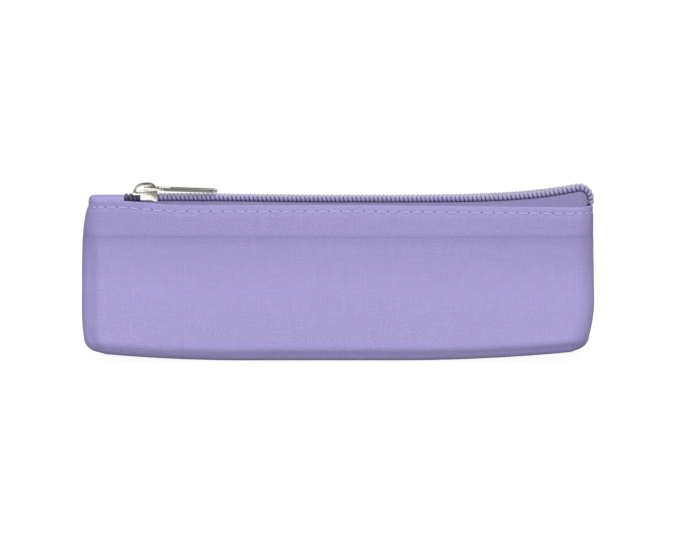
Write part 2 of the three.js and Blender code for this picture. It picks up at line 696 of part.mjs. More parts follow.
// Pull: a pin under the bridge, an eye round the strap and a flat tab with a sunk panel.
function pull() {
  const pinHalf = pullThickness / 2;
  const eyeEnd = eyeReach + pullThickness;
  const tabStart = eyeEnd + pullWidth / 2;
  const tipRound = pullWidth / 2;
  const half = pullWidth / 2;
  const shape = new THREE.Shape();
  shape.moveTo(-pinHalf, -eyeWidth / 2);
  shape.lineTo(eyeReach, -eyeWidth / 2);
  shape.quadraticCurveTo(eyeEnd, -eyeWidth / 2, eyeEnd, -eyeWidth / 3);
  shape.quadraticCurveTo(eyeEnd, -half, tabStart, -half);
  shape.lineTo(pullLength - tipRound, -half);
  shape.absarc(pullLength - tipRound, 0, tipRound, -Math.PI / 2, Math.PI / 2, false);
  shape.lineTo(tabStart, half);
  shape.quadraticCurveTo(eyeEnd, half, eyeEnd, eyeWidth / 3);
  shape.quadraticCurveTo(eyeEnd, eyeWidth / 2, eyeReach, eyeWidth / 2);
  shape.lineTo(-pinHalf, eyeWidth / 2);
  const eye = new THREE.Path();
  eye.moveTo(pinHalf, -eyeGap / 2);
  eye.lineTo(pinHalf, eyeGap / 2);
  eye.lineTo(eyeReach, eyeGap / 2);
  eye.lineTo(eyeReach, -eyeGap / 2);
  shape.holes.push(eye);
  const panel = new THREE.Shape();
  const panelHalf = half - pullBorder;
  panel.moveTo(tabStart, -panelHalf);
  panel.lineTo(pullLength - tipRound, -panelHalf);
  panel.absarc(pullLength - tipRound, 0, panelHalf, -Math.PI / 2, Math.PI / 2, false);
  panel.lineTo(tabStart, panelHalf);
  const plate = raised(shape, -pinHalf, pullThickness);
  const above = raised(panel, pinHalf - pullRecess, 2 * pullRecess);
  const below = raised(panel, -pinHalf - pullRecess, 2 * pullRecess);
  return fromSolid(plate.subtract(above).subtract(below));
}

const pullMesh = addPart('zip_pull', pull(), nickel);
pullMesh.position.set(sliderMiddle + pinAhead, 0, sliderRest + sliderHeight + pinHeight);
pullMesh.rotation.y = THREE.MathUtils.degToRad(pullTilt);

export default pouch;
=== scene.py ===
import math

import bmesh
import bpy
import numpy as np
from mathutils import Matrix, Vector


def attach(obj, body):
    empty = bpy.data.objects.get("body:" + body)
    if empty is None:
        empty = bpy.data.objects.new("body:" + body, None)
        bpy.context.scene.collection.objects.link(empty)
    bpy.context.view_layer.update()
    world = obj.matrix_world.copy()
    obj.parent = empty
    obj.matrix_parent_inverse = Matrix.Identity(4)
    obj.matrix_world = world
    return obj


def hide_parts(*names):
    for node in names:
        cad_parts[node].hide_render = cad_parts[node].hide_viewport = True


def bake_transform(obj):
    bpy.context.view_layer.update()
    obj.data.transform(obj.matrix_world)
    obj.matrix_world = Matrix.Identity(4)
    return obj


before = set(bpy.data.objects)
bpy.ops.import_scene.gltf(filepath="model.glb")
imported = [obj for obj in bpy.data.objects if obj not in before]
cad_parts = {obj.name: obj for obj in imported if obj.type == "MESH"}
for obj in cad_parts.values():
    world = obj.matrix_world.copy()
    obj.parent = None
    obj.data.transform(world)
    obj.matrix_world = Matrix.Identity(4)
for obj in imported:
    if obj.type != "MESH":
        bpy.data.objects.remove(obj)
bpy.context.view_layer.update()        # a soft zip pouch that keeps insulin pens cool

mm = 0.001  # shapes below are worked out in millimetres
tiny = 1e-9  # shortest length to divide by

# the pouch's body: its solids' sizes, with the left end curled up and tucked in a little more
body = {
    "length": 200, "baseDepth": 35, "lipHeight": 60.2, "mouthHalf": 7.55,
    "cornerRadius": 9, "mouthStraight": 1.6, "rollRadius": 5.5, "bulge": 1.6,
    "leftTaper": 2.6, "rightTaper": 0.6, "taperPower": 8, "leastCorner": 0.3,
    "leftTuck": 1.4, "leftTuckHeight": 18, "rightTuck": 3.2, "rightTuckHeight": 24,
    "leftLipRise": 1.8, "leftLipRun": 40, "tabLength": 12.7, "rightLipDrop": 0.8, "endLipDrop": 1.5,
    "leftFloorRise": 3.2, "leftFloorRun": 66, "rightFloorRise": 3.8, "rightFloorRun": 75,
    "foamTop": 47.5, "creaseStep": 0.6, "creaseHeight": 4, "seamGap": 0.1,
}
# thickness of each sheet and the gap between two of them
sheets = {"cloth": 0.7, "foam": 2.2, "lining": 0.4, "tape": 0.5, "gap": 0.3, "hem": 0.9, "hemDepth": 8}
# places along the front in mm, the first where it is split into two halves
frontHold = {"split": -20, "leftStart": -84, "leftEnd": -45, "rightStart": 0, "rightEnd": 52}

halfLength = body["length"] / 2
halfBase = body["baseDepth"] / 2
foamInset = sheets["cloth"] + sheets["gap"]
thickLining = foamInset + sheets["foam"] + sheets["gap"]
thinLining = foamInset + sheets["tape"] + sheets["gap"]


# smooth step: 3 t^2 - 2 t^3 of the place between a and b
def smoothStep(a, b, v):
    t = np.clip((v - a) / (b - a), 0, 1)
    return t * t * (3 - 2 * t)


# floor height: square-law curl towards each end
def floorAt(x):
    left = np.clip((-x - halfLength + body["leftFloorRun"]) / body["leftFloorRun"], 0, 1)
    right = np.clip((x - halfLength + body["rightFloorRun"]) / body["rightFloorRun"], 0, 1)
    return body["leftFloorRise"] * left ** 2 + body["rightFloorRise"] * right ** 2


# lip height: climbs to the tab on the left, falls a little to the right
def lipAt(x):
    left = smoothStep(halfLength - body["leftLipRun"], halfLength - body["tabLength"], -x)
    right = smoothStep(0, halfLength, x)
    return body["lipHeight"] + body["leftLipRise"] * left - body["rightLipDrop"] * right


# share of the wall below a height, 0 at the bottom roll and 1 at the lip
def wallShare(z):
    return np.clip((z - body["rollRadius"]) / (body["lipHeight"] - body["rollRadius"]), 0, 1)


# reach of the left and the right end, less an inset: a high power draws both in at the top, a square law at the bottom
def endsAt(z, inset):
    top, reach = wallShare(z) ** body["taperPower"], []
    for side in ("left", "right"):
        high = body[side + "TuckHeight"]
        below = np.clip((high - z) / (high - body["rollRadius"]), 0, 1)
        reach.append(halfLength - body[side + "Taper"] * top - body[side + "Tuck"] * below ** 2 - inset)
    return reach


# half depth: a straight line from the base to the mouth
def depthAt(z):
    return halfBase + (body["mouthHalf"] - halfBase) * wallShare(z)


# corner radius in plan, smaller where the wall is too shallow for it
def cornerAt(z):
    return np.minimum(body["cornerRadius"], depthAt(z) - body["mouthStraight"])


# crease at the foam's top edge: a smooth step inwards
def creaseAt(z):
    half = body["creaseHeight"] / 2
    return body["creaseStep"] * smoothStep(body["foamTop"] - half, body["foamTop"] + half, z)


# belly: a parabola up the wall times a quartic bow along it
def bulgeAt(x, z):
    share = wallShare(z)
    return body["bulge"] * 4 * share * (1 - share) * np.clip(1 - (x / halfLength) ** 2, 0, 1) ** 2


# inset of the lining: a smooth step from behind the foam to behind the tape
def liningInset(z):
    closing = smoothStep(body["foamTop"] + sheets["gap"], body["foamTop"] + body["creaseHeight"], z)
    return thickLining + (thinLining - thickLining) * closing


# columns round the front half: kind 0 left end, 1 left turn, 2 front, 3 right turn, 4 right end
def outlineColumns(endSteps, turnSteps, frontSteps):
    end = np.arange(endSteps) / endSteps
    turn = np.arange(turnSteps) / turnSteps
    front = np.linspace(0, 1, frontSteps + 1)
    kind = np.repeat([0, 1, 2, 3, 4], [endSteps, turnSteps, frontSteps + 1, turnSteps, endSteps])
    frac = np.concatenate([end, turn, front, turn[::-1], end[::-1]])
    return kind[:, None], frac[:, None]


# columns on an end, and columns on a turn
def endsAndTurns(kind):
    return [(kind == 0) | (kind == 4), (kind == 1) | (kind == 3)]


# plan: a straight end, a quarter circle, a straight front, and the same again
def planPoint(columns, ends, depth, corner):
    kind, frac = columns
    side, reach = np.where(kind < 2, -1, 1), np.where(kind < 2, ends[0], ends[1])
    angle = frac * math.pi / 2
    seam = -body["seamGap"] / 2
    xs = [side * reach, side * (reach - corner + corner * np.cos(angle))]
    ys = [seam + (corner - depth - seam) * frac, corner - depth - corner * np.sin(angle)]
    x = np.select(endsAndTurns(kind), xs, (corner - ends[0]) * (1 - frac) + (ends[1] - corner) * frac)
    y = np.select(endsAndTurns(kind), ys, -depth + 0 * frac)
    return x, y


# 0 on the ends, a straight rise round the turns, 1 on the front
def frontShare(columns):
    kind, frac = columns
    return np.select(endsAndTurns(kind), [0 * frac, frac], 1 + 0 * frac)


# 1 on the front, falling to 1 - fade on the ends by a smooth step
def faceOf(columns, fade):
    return 1 - fade * (1 - smoothStep(0, 1, frontShare(columns)))


# x of each column on the base's plan
def plainX(columns):
    return planPoint(columns, (halfLength, halfLength), halfBase, body["cornerRadius"])[0]


# top edge of a wall: along the lip in front, lower on the ends
def edgeAt(columns, drop, leftEnd, rightEnd):
    fall = np.where(columns[0] < 2, leftEnd, rightEnd) * (1 - frontShare(columns))
    return lipAt(plainX(columns)) - drop - fall


# wall: rows turn up the bottom roll, then climb through the heights z, with insets given for both
def wallSurface(columns, z, inset, rollInset, rollSteps, fade=0.0):
    x = plainX(columns)
    angle = np.arange(rollSteps)[None] / rollSteps * math.pi / 2
    radius = body["rollRadius"] - rollInset
    rollHeight = floorAt(x) + body["rollRadius"] - radius * np.cos(angle)
    rollIn = body["rollRadius"] - radius * np.sin(angle) + 0 * x
    height = np.concatenate([rollHeight, z], axis=1)
    level = np.concatenate([floorAt(x) + body["rollRadius"] + 0 * angle, z], axis=1)
    shift = np.concatenate([rollIn, inset + creaseAt(z) * faceOf(columns, fade)], axis=1)
    corner = np.maximum(cornerAt(level) - shift, body["leastCorner"])
    px, py = planPoint(columns, endsAt(level, shift), depthAt(level) - shift, corner)
    share = np.clip(py / (shift - depthAt(level)), 0, 1)
    return np.stack([px, py - bulgeAt(px, level) * share, height], axis=-1)


# heights from the roll to the top, in stretches of equal steps
def heightRows(columns, stops, counts):
    start = floorAt(plainX(columns)) + body["rollRadius"]
    marks = [start] + [stop + 0 * start for stop in stops]
    rows = [start]
    for low, high, count in zip(marks, marks[1:], counts):
        rows.append(low + (high - low) * np.arange(1, count + 1)[None] / count)
    return np.concatenate(rows, axis=1)


# unit vectors: each over its own length
def unit(vectors):
    return vectors / np.maximum(np.linalg.norm(vectors, axis=-1, keepdims=True), tiny)


# unit normals of a grid: cross product of its two gradients
def gridNormals(points):
    return unit(np.cross(np.gradient(points, axis=0), np.gradient(points, axis=1)))


# running length along one axis of a grid
def runLength(points, axis):
    step = np.linalg.norm(np.diff(points, axis=axis), axis=-1)
    return np.insert(np.cumsum(step, axis=axis), 0, 0, axis=axis)


waveStep = 0.8  # what each slack wave adds to the first one's frequency


# slack: a few sine waves in seeded directions, each shorter and weaker than the last
def slackWaves(u, v, seed, longest, count):
    draw = np.random.default_rng(seed)
    total, weight = 0 * u, 0
    for k in range(count):
        turn, phase = draw.uniform(0, math.pi), draw.uniform(0, 2 * math.pi)
        wave = 2 * math.pi * (1 + waveStep * k) / longest
        total = total + np.sin(wave * (u * math.cos(turn) + v * math.sin(turn)) + phase) / (1 + k)
        weight += 1 / (1 + k)
    return total / weight


# bell curve: e to the minus square of the distance over the width
def gauss(v, middle, width):
    return np.exp(-((v - middle) / width) ** 2)


def addObject(name, data):
    holder = bpy.data.objects.new(name, data)
    bpy.context.scene.collection.objects.link(holder)
    return holder


# object from points in mm, smooth all over and without a UV map or own normals unless they are given
def newObject(name, points, faces, uv=None, smooth=None, normals=None):
    mesh = bpy.data.meshes.new(name)
    mesh.from_pydata((np.asarray(points).reshape(-1, 3) * mm).tolist(), [], [list(map(int, f)) for f in faces])
    if uv is not None:
        loops = np.empty(len(mesh.loops), dtype=np.int32)
        mesh.loops.foreach_get("vertex_index", loops)
        layer = mesh.uv_layers.new(name="UVMap")
        layer.data.foreach_set("uv", (np.asarray(uv).reshape(-1, 2)[loops] * mm).ravel())
    flags = np.ones(len(mesh.polygons), dtype=bool) if smooth is None else smooth
    mesh.polygons.foreach_set("use_smooth", flags)
    mesh.update()
    if normals is not None:
        mesh.normals_split_custom_set(normals.tolist())
    return addObject(name, mesh)


# quads between neighbours in a grid of indices
def quads(grid):
    return np.stack([grid[:-1, :-1], grid[1:, :-1], grid[1:, 1:], grid[:-1, 1:]], axis=-1).reshape(-1, 4)


# unit normals of quads: cross product of their diagonals
def quadNormals(points, faces):
    corner = points[faces]
    return unit(np.cross(corner[:, 2] - corner[:, 0], corner[:, 3] - corner[:, 1]))


# closed sheet between two grids, or a part of them: both faces, shaded as the whole grid, then the rim
def sheetObject(name, outer, inner, uv, part=slice(None), mirror=False):
    normals = np.concatenate([gridNormals(outer)[part].reshape(-1, 3), -gridNormals(inner)[part].reshape(-1, 3)])
    outer, inner, uv = outer[part], inner[part], uv[part]
    columns, rows = outer.shape[:2]
    up = np.arange(columns * rows).reshape(columns, rows)
    down = up + columns * rows
    around = lambda a, b: np.stack([a[:-1], b[:-1], b[1:], a[1:]], axis=-1)
    rim = np.concatenate([around(up[:, 0], down[:, 0]), around(down[:, -1], up[:, -1]),
                          around(down[0], up[0]), around(up[-1], down[-1])])
    wide = np.concatenate([quads(up), quads(down)[:, ::-1]])
    points = np.concatenate([outer.reshape(-1, 3), inner.reshape(-1, 3)])
    if mirror:
        points, normals = points * [1, -1, 1], normals * [1, -1, 1]
        wide, rim = wide[:, ::-1], rim[:, ::-1]
    shading = np.concatenate([normals[wide.ravel()], np.repeat(quadNormals(points, rim), 4, axis=0)])
    smooth = np.arange(len(wide) + len(rim)) < len(wide)
    both = np.concatenate([uv.reshape(-1, 2), uv.reshape(-1, 2)])
    return newObject(name, points, np.concatenate([wide, rim]), both, smooth, shading)


# tubes: rings round many lines at once, each closed by a cap at both ends
def tubeObject(name, lines, normals, radii, sides, wider=1.0, mark=None):
    tangents = unit(np.gradient(lines, axis=1))
    normals = unit(normals - (normals * tangents).sum(-1, keepdims=True) * tangents)
    across = np.cross(tangents, normals)
    angle = np.arange(sides) / sides * 2 * math.pi
    ring = np.cos(angle)[:, None] * normals[:, :, None] + np.sin(angle)[:, None] * (across * wider)[:, :, None]
    points = lines[:, :, None] + ring * np.asarray(radii)[None, :, None, None]
    count, steps = lines.shape[:2]
    index = np.arange(count * steps * sides).reshape(count, steps, sides)
    nextSide = np.roll(index, -1, axis=2)
    walls = np.stack([index[:, :-1], nextSide[:, :-1], nextSide[:, 1:], index[:, 1:]], axis=-1).reshape(-1, 4)
    caps = np.concatenate([index[:, 0, ::-1], index[:, -1]])
    along = runLength(lines, 1)[:, :, None] + 0 * ring[..., 0]
    second = angle if mark is None else np.asarray(mark)[None, :, None]
    place = np.stack([along, np.broadcast_to(second, along.shape)], axis=-1)
    return newObject(name, points, walls.tolist() + caps.tolist(), place)


# shader helpers
def put(tree, kind, inputs=None, **settings):
    node = tree.nodes.new(kind)
    for key, value in settings.items():
        setattr(node, key, value)
    for key, value in (inputs or {}).items():
        if isinstance(value, bpy.types.NodeSocket):
            tree.links.new(value, node.inputs[key])
        else:
            node.inputs[key].default_value = value
    return node


def calc(tree, operation, a, b=0.0, c=0.0):
    return put(tree, "ShaderNodeMath", {0: a, 1: b, 2: c}, operation=operation).outputs[0]


def blendColour(tree, share, a, b):  # sockets 6, 7 and 2 are those for colours
    return put(tree, "ShaderNodeMix", {0: share, 6: a, 7: b}, data_type="RGBA").outputs[2]


def ramp(tree, value, low, high, start, end):
    return put(tree, "ShaderNodeMapRange", {0: value, 1: low, 2: high, 3: start, 4: end}).outputs[0]


def axes(tree, place):
    return put(tree, "ShaderNodeSeparateXYZ", {0: place}).outputs


def newGroup(name, inputs, outputs):
    tree = bpy.data.node_groups.new(name, "ShaderNodeTree")
    for label, kind in inputs:
        tree.interface.new_socket(name=label, in_out="INPUT", socket_type=kind)
    for label in outputs:
        tree.interface.new_socket(name=label, in_out="OUTPUT", socket_type="NodeSocketFloat")
    return tree, tree.nodes.new("NodeGroupInput").outputs, tree.nodes.new("NodeGroupOutput").inputs


# noise in the two groups below: turns per metre of a slub, stretch and scale of the wear
fibre = {"slubAlong": 90, "slubAcross": 2400, "hairStretch": 0.12, "hairScale": 6.0, "cloudScale": 0.6}


# plain weave: product of two sines, so yarns stand up in a chequer; slub: noise drawn out along each yarn
def weaveGroup():
    tree, given, made = newGroup("plainWeave", [("Place", "NodeSocketVector"), ("Yarn", "NodeSocketFloat")],
                                 ["Height", "Slub"])
    split = axes(tree, given["Place"])
    turns = [calc(tree, "MULTIPLY", calc(tree, "DIVIDE", axis, given["Yarn"]), math.pi) for axis in split[:2]]
    wave = calc(tree, "MULTIPLY", calc(tree, "SINE", turns[0]), calc(tree, "SINE", turns[1]))
    tree.links.new(calc(tree, "MULTIPLY_ADD", wave, 0.5, 0.5), made["Height"])
    streaks, slub = [], (fibre["slubAlong"], fibre["slubAcross"])
    for stretch in [(*slub, 1), (*slub[::-1], 1)]:
        drawn = put(tree, "ShaderNodeVectorMath", {0: given["Place"], 1: stretch}, operation="MULTIPLY").outputs[0]
        streaks.append(put(tree, "ShaderNodeTexNoise", {"Vector": drawn, "Scale": 1.0, "Detail": 1.0}).outputs[0])
    both = calc(tree, "ADD", streaks[0], streaks[1])
    tree.links.new(calc(tree, "MULTIPLY", both, 0.5), made["Slub"])
    return tree


# fine wear: two noises, one drawn out as hairlines, one as broad clouds
def wearGroup():
    tree, given, made = newGroup("fineWear", [("Place", "NodeSocketVector"), ("Grain", "NodeSocketFloat")],
                                 ["Hairline", "Cloud"])
    stretch = (fibre["hairStretch"], 1, 1)
    drawn = put(tree, "ShaderNodeVectorMath", {0: given["Place"], 1: stretch}, operation="MULTIPLY").outputs[0]
    kinds = [(drawn, "Hairline", fibre["hairScale"]), (given["Place"], "Cloud", fibre["cloudScale"])]
    for vector, label, scale in kinds:
        size = calc(tree, "MULTIPLY", given["Grain"], scale)
        noise = put(tree, "ShaderNodeTexNoise", {"Vector": vector, "Scale": size, "Detail": 2.0})
        tree.links.new(noise.outputs[0], made[label])
    return tree


weave = weaveGroup()
wear = wearGroup()


# shader sockets that a look may set
finishSockets = {"roughness": "Roughness", "metallic": "Metallic", "sheen": "Sheen Weight",
                 "sheenRoughness": "Sheen Roughness", "coat": "Coat Weight"}


def newMaterial(name, look):
    material = bpy.data.materials.new(name)
    material.use_nodes = True
    tree = material.node_tree
    shader = tree.nodes["Principled BSDF"]
    for key, label in finishSockets.items():
        if key in look:
            shader.inputs[label].default_value = look[key]
    return material, tree, shader


def useGroup(tree, group, place, size):
    return put(tree, "ShaderNodeGroup", {0: place, 1: size}, node_tree=group).outputs


def uvPlace(tree):
    return put(tree, "ShaderNodeUVMap", uv_map="UVMap").outputs[0]


def objectPlace(tree):
    return put(tree, "ShaderNodeTexCoord").outputs["Object"]


# colour of a material, roughness from the look's least value up by a mask, bump from a height
def finishSurface(tree, shader, look, colour, mask=None, height=None):
    tree.links.new(colour, shader.inputs["Base Color"])
    if mask is not None:
        rough = calc(tree, "MULTIPLY_ADD", mask, look["rougher"], look["least"])
        tree.links.new(rough, shader.inputs["Roughness"])
    if height is not None:
        rise = {"Strength": look["bump"], "Distance": look["bumpRise"] * mm, "Height": height}
        tree.links.new(put(tree, "ShaderNodeBump", rise).outputs[0], shader.inputs["Normal"])


# topstitch along both lips
stitch = {"drop": 2.6, "pitch": 4.5, "length": 3.5, "thread": 0.21, "lift": 0.14, "hole": 0.5,
          "steps": 8, "sides": 6, "clear": 0.06, "arch": 0.6, "tip": 0.05}
# every woven cloth: how far yarns and slubs change its tone, and its finish
clothFinish = {"yarnTone": 1.45, "slubTone": 0.6, "toneShift": -0.525, "roughness": 0.82, "sheen": 0.06,
               "sheenRoughness": 0.5, "bumpRise": 0.12}
# outer cloth: lengths in mm, places below the lip are negative, colours are linear; the hole colour also serves as the
# painted shade on the upper wall and along the foam's edge
oxford = {"yarn": 0.47, "light": (0.59, 0.52, 0.91, 1), "dark": (0.27, 0.225, 0.535, 1), "bump": 0.5,
          "hole": (0.10, 0.08, 0.20, 1), "paintedShade": 0.24, "shadeFrom": -34, "shadeTo": -14,
          "hemFrom": -5.5, "hemTo": -2, "hemShade": 0.1, "press": 48.2, "creaseShadeWidth": 0.5, "creaseShade": 0.16}


def clothMaterial(name, look, holes):
    look = {**clothFinish, **look}
    material, tree, shader = newMaterial(name, look)
    place = uvPlace(tree)
    woven = useGroup(tree, weave, place, look["yarn"] * mm)
    slub = calc(tree, "MULTIPLY_ADD", woven["Slub"], look["slubTone"], look["toneShift"])
    tone = calc(tree, "MULTIPLY_ADD", woven["Height"], look["yarnTone"], slub)
    colour = blendColour(tree, tone, look["dark"], look["light"])
    if holes:  # painted shade: darker up the wall towards the lip, most above the foam and less at the hem, and along the foam's edge, with needle holes where two stitches meet
        u, v, _ = axes(tree, place)
        # painted shade on the upper wall, eased off at the hem
        shadeBand = ramp(tree, v, look["shadeFrom"] * mm, look["shadeTo"] * mm, 0.0, look["paintedShade"])
        hem = ramp(tree, v, look["hemFrom"] * mm, look["hemTo"] * mm, look["paintedShade"], look["hemShade"])
        colour = blendColour(tree, calc(tree, "MINIMUM", shadeBand, hem), colour, look["hole"])
        # painted shade: a dark line in the crease at the foam's edge
        off = calc(tree, "ABSOLUTE", calc(tree, "SUBTRACT", axes(tree, objectPlace(tree))[2], look["press"] * mm))
        line = ramp(tree, off, 0.0, look["creaseShadeWidth"] * mm, look["creaseShade"], 0.0)
        colour = blendColour(tree, line, colour, look["hole"])
        along = calc(tree, "FRACT", calc(tree, "MULTIPLY_ADD", u, 1 / (stitch["pitch"] * mm), 0.5))
        dx = calc(tree, "MULTIPLY", calc(tree, "SUBTRACT", along, 0.5), stitch["pitch"] * mm)
        dy = calc(tree, "ADD", v, stitch["drop"] * mm)
        away = calc(tree, "SQRT", calc(tree, "ADD", calc(tree, "POWER", dx, 2.0), calc(tree, "POWER", dy, 2.0)))
        mask = calc(tree, "SUBTRACT", 1.0, calc(tree, "DIVIDE", away, stitch["hole"] * mm))
        colour = blendColour(tree, calc(tree, "MAXIMUM", mask, 0.0), colour, look["hole"])
    finishSurface(tree, shader, look, colour, height=woven["Height"])
    return material


# twist of the plies, along and round a thread
threadLook = {"along": 9000.0, "round": 2000.0, "roughness": 0.6, "sheen": 0.2, "bump": 0.3, "bumpRise": 0.05}


def threadMaterial(name, dark, light):
    material, tree, shader = newMaterial(name, threadLook)
    u, v, _ = axes(tree, uvPlace(tree))
    twist = calc(tree, "MULTIPLY_ADD", u, threadLook["along"], calc(tree, "MULTIPLY", v, threadLook["round"]))
    ply = calc(tree, "MULTIPLY_ADD", calc(tree, "SINE", twist), 0.5, 0.5)
    finishSurface(tree, shader, threadLook, blendColour(tree, ply, dark, light), height=ply)
    return material


foilLook = {"dark": (0.60, 0.61, 0.63, 1), "light": (0.78, 0.79, 0.80, 1), "metallic": 0.85, "creases": 160.0,
            "sharpness": 6.0, "grain": 220.0, "roughness": 0.28, "least": 0.15, "rougher": 0.3,
            "bump": 0.5, "bumpRise": 0.4}


def foilMaterial(look):
    material, tree, shader = newMaterial("silverFoil", look)
    edges = {"Vector": uvPlace(tree), "Scale": look["creases"]}
    creases = put(tree, "ShaderNodeTexVoronoi", edges, feature="DISTANCE_TO_EDGE").outputs[0]
    cloud = useGroup(tree, wear, uvPlace(tree), look["grain"])["Cloud"]
    # painted shade: darker along the crease lines
    fold = calc(tree, "MINIMUM", calc(tree, "MULTIPLY", creases, look["sharpness"]), 1.0)
    colour = blendColour(tree, fold, look["dark"], look["light"])
    finishSurface(tree, shader, look, colour, cloud, calc(tree, "ADD", fold, cloud))
    return material


foamLook = {"dark": (0.80, 0.80, 0.78, 1), "light": (0.90, 0.90, 0.88, 1), "cells": 1400.0, "roughness": 0.95,
            "bump": 0.3, "bumpRise": 0.2}


def foamMaterial(look):
    material, tree, shader = newMaterial("whiteFoam", look)
    cells = put(tree, "ShaderNodeTexVoronoi", {"Vector": objectPlace(tree), "Scale": look["cells"]}).outputs[0]
    colour = blendColour(tree, cells, look["dark"], look["light"])
    finishSurface(tree, shader, look, colour, height=cells)
    return material


# nylon of the coils: tops of the turns paler as a painted highlight, and darker from under the slider leftwards as
# painted shade under its plates and in the zip's open end, places in mm
coilLook = {"dark": (0.185, 0.155, 0.37, 1), "light": (0.47, 0.43, 0.67, 1), "topLightFrom": -0.8, "topLightTo": 0.9,
            "topLightShare": (-0.1, 0.9), "cloudShare": 0.2, "sliderShade": (0.05, 0.04, 0.10, 1), "sliderShadeFrom": -73.5,
            "sliderShadeTo": -77, "sliderShadeShare": 0.85, "grain": 900.0, "roughness": 0.38, "least": 0.28, "rougher": 0.25,
            "coat": 0.1}


def coilMaterial(look):
    material, tree, shader = newMaterial("coilNylon", look)
    cloud = useGroup(tree, wear, objectPlace(tree), look["grain"])["Cloud"]
    top = axes(tree, uvPlace(tree))[1]  # 1 mm at the top of a turn, -1 mm at its bottom
    # painted highlight: the tops of the turns paler, as if lit from above
    topLight = ramp(tree, top, look["topLightFrom"] * mm, look["topLightTo"] * mm, *look["topLightShare"])
    shade = calc(tree, "MULTIPLY_ADD", cloud, look["cloudShare"], topLight)
    colour = blendColour(tree, shade, look["dark"], look["light"])
    # painted shade: the coil darker from under the slider leftwards
    x = axes(tree, objectPlace(tree))[0]
    sliderShade = ramp(tree, x, look["sliderShadeFrom"] * mm, look["sliderShadeTo"] * mm, 0.0, look["sliderShadeShare"])
    colour = blendColour(tree, sliderShade, colour, look["sliderShade"])
    finishSurface(tree, shader, look, colour, cloud)
    return material


# nickel: darker on the bridge, the slider's rear and cut edges, each over a short way, as painted shade and painted
# dark reflections
# places are in mm, and 1000 is nowhere on the object
nickelFinish = {"bridge": (0.20, 0.19, 0.16, 1), "bridgeAbove": 1000, "bridgeShare": 0.7,
                "rear": (0.20, 0.19, 0.15, 1), "rearFrom": -73.1, "rearTo": -72.9, "rearShare": 0.0,
                "cut": (0.08, 0.08, 0.075, 1), "cutEdge": 1000, "cutShare": 0.8, "way": 0.3, "grain": 260.0,
                "metallic": 1.0, "roughness": 0.2, "least": 0.12, "rougher": 0.14, "bump": 0.02, "bumpRise": 0.05}


def nickelMaterial(name, look):
    look = {**nickelFinish, **look}
    material, tree, shader = newMaterial(name, look)
    worn = useGroup(tree, wear, objectPlace(tree), look["grain"])
    colour = blendColour(tree, worn["Cloud"], look["dark"], look["light"])
    x, y, z = axes(tree, objectPlace(tree))
    spans = {"bridge": (z, look["bridgeAbove"], look["bridgeAbove"] + look["way"]),
             "rear": (x, look["rearFrom"], look["rearTo"]),
             "cut": (calc(tree, "ABSOLUTE", y), look["cutEdge"] - look["way"], look["cutEdge"])}
    # painted shade and painted dark reflections over each span
    for place, (value, low, high) in spans.items():
        share = ramp(tree, value, low * mm, high * mm, 0.0, look[place + "Share"])
        colour = blendColour(tree, share, colour, look[place])
    finishSurface(tree, shader, look, colour, worn["Hairline"], worn["Hairline"])
    return material


gelLook = {"dark": (0.42, 0.60, 0.72, 1), "light": (0.62, 0.76, 0.85, 1), "grain": 120.0, "roughness": 0.25,
           "least": 0.15, "rougher": 0.2, "coat": 0.4, "bump": 0.25, "bumpRise": 0.6}


def gelMaterial(look):
    material, tree, shader = newMaterial("gelFilm", look)
    cloud = useGroup(tree, wear, objectPlace(tree), look["grain"])["Cloud"]
    colour = blendColour(tree, cloud, look["dark"], look["light"])
    finishSurface(tree, shader, look, colour, cloud, cloud)
    return material


tapeLook = {"yarn": 0.35, "light": (0.355, 0.315, 0.555, 1), "dark": (0.17, 0.145, 0.315, 1), "bump": 0.4}
bindingLook = {"yarn": 0.4, "light": (0.30, 0.28, 0.38, 1), "dark": (0.20, 0.19, 0.27, 1), "bump": 0.3}
coreLook = {"yarn": 0.35, "light": (0.16, 0.14, 0.27, 1), "dark": (0.09, 0.08, 0.17, 1), "bump": 0.3}
# one nickel in three copies: the slider's brighter than nickel as a painted highlight, the top stops' and the pull's
# darker as painted shade
sliderLook = {"light": (0.94, 0.92, 0.87, 1), "dark": (0.82, 0.80, 0.75, 1), "bridgeAbove": 65.1, "rearShare": 0.08}
stopLook = {"light": (0.27, 0.262, 0.24, 1), "dark": (0.18, 0.176, 0.164, 1)}
pullLook = {"light": (0.80, 0.78, 0.71, 1), "dark": (0.62, 0.60, 0.54, 1), "cutEdge": 3}

lavenderCloth = clothMaterial("lavenderCloth", oxford, True)
plainCloth = clothMaterial("lavenderClothPlain", oxford, False)
tapeCloth = clothMaterial("tapeCloth", tapeLook, False)
bindingCloth = clothMaterial("bindingCloth", bindingLook, False)
coreCord = clothMaterial("coreCord", coreLook, False)
thread = threadMaterial("lavenderThread", (0.48, 0.425, 0.76, 1), (0.64, 0.58, 0.90, 1))
# the coil's sewing thread, paler than the coil: partly its own colour and partly a painted highlight along the tops of
# the turns
sewing = threadMaterial("coilSewing", (0.40, 0.37, 0.52, 1), (0.62, 0.59, 0.74, 1))
foil = foilMaterial(foilLook)
foam = foamMaterial(foamLook)
nylon = coilMaterial(coilLook)
nickel = nickelMaterial("nickelPlate", sliderLook)
darkNickel = nickelMaterial("nickelShaded", stopLook)
pullNickel = nickelMaterial("nickelPull", pullLook)
gel = gelMaterial(gelLook)
print("materials made")


# gives a piece its material and hides the solids of the nodes that it stands for; the slot is not used
def dress(piece, material, slot, *nodes):
    piece.data.materials.clear()
    piece.data.materials.append(material)
    if nodes:
        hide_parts(*nodes)
    return piece


# bakes the placing of a half of the front into its mesh, alike for both halves
def holdFront(piece, half):
    if half == "Left":
        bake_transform(piece)
    else:
        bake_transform(piece)


# both halves of a front sheet share the column nearest to the split
def frontHalves(x):
    cut = int(np.argmin(np.abs(x - frontHold["split"])))
    return [("Left", slice(0, cut + 1)), ("Right", slice(cut, None))]


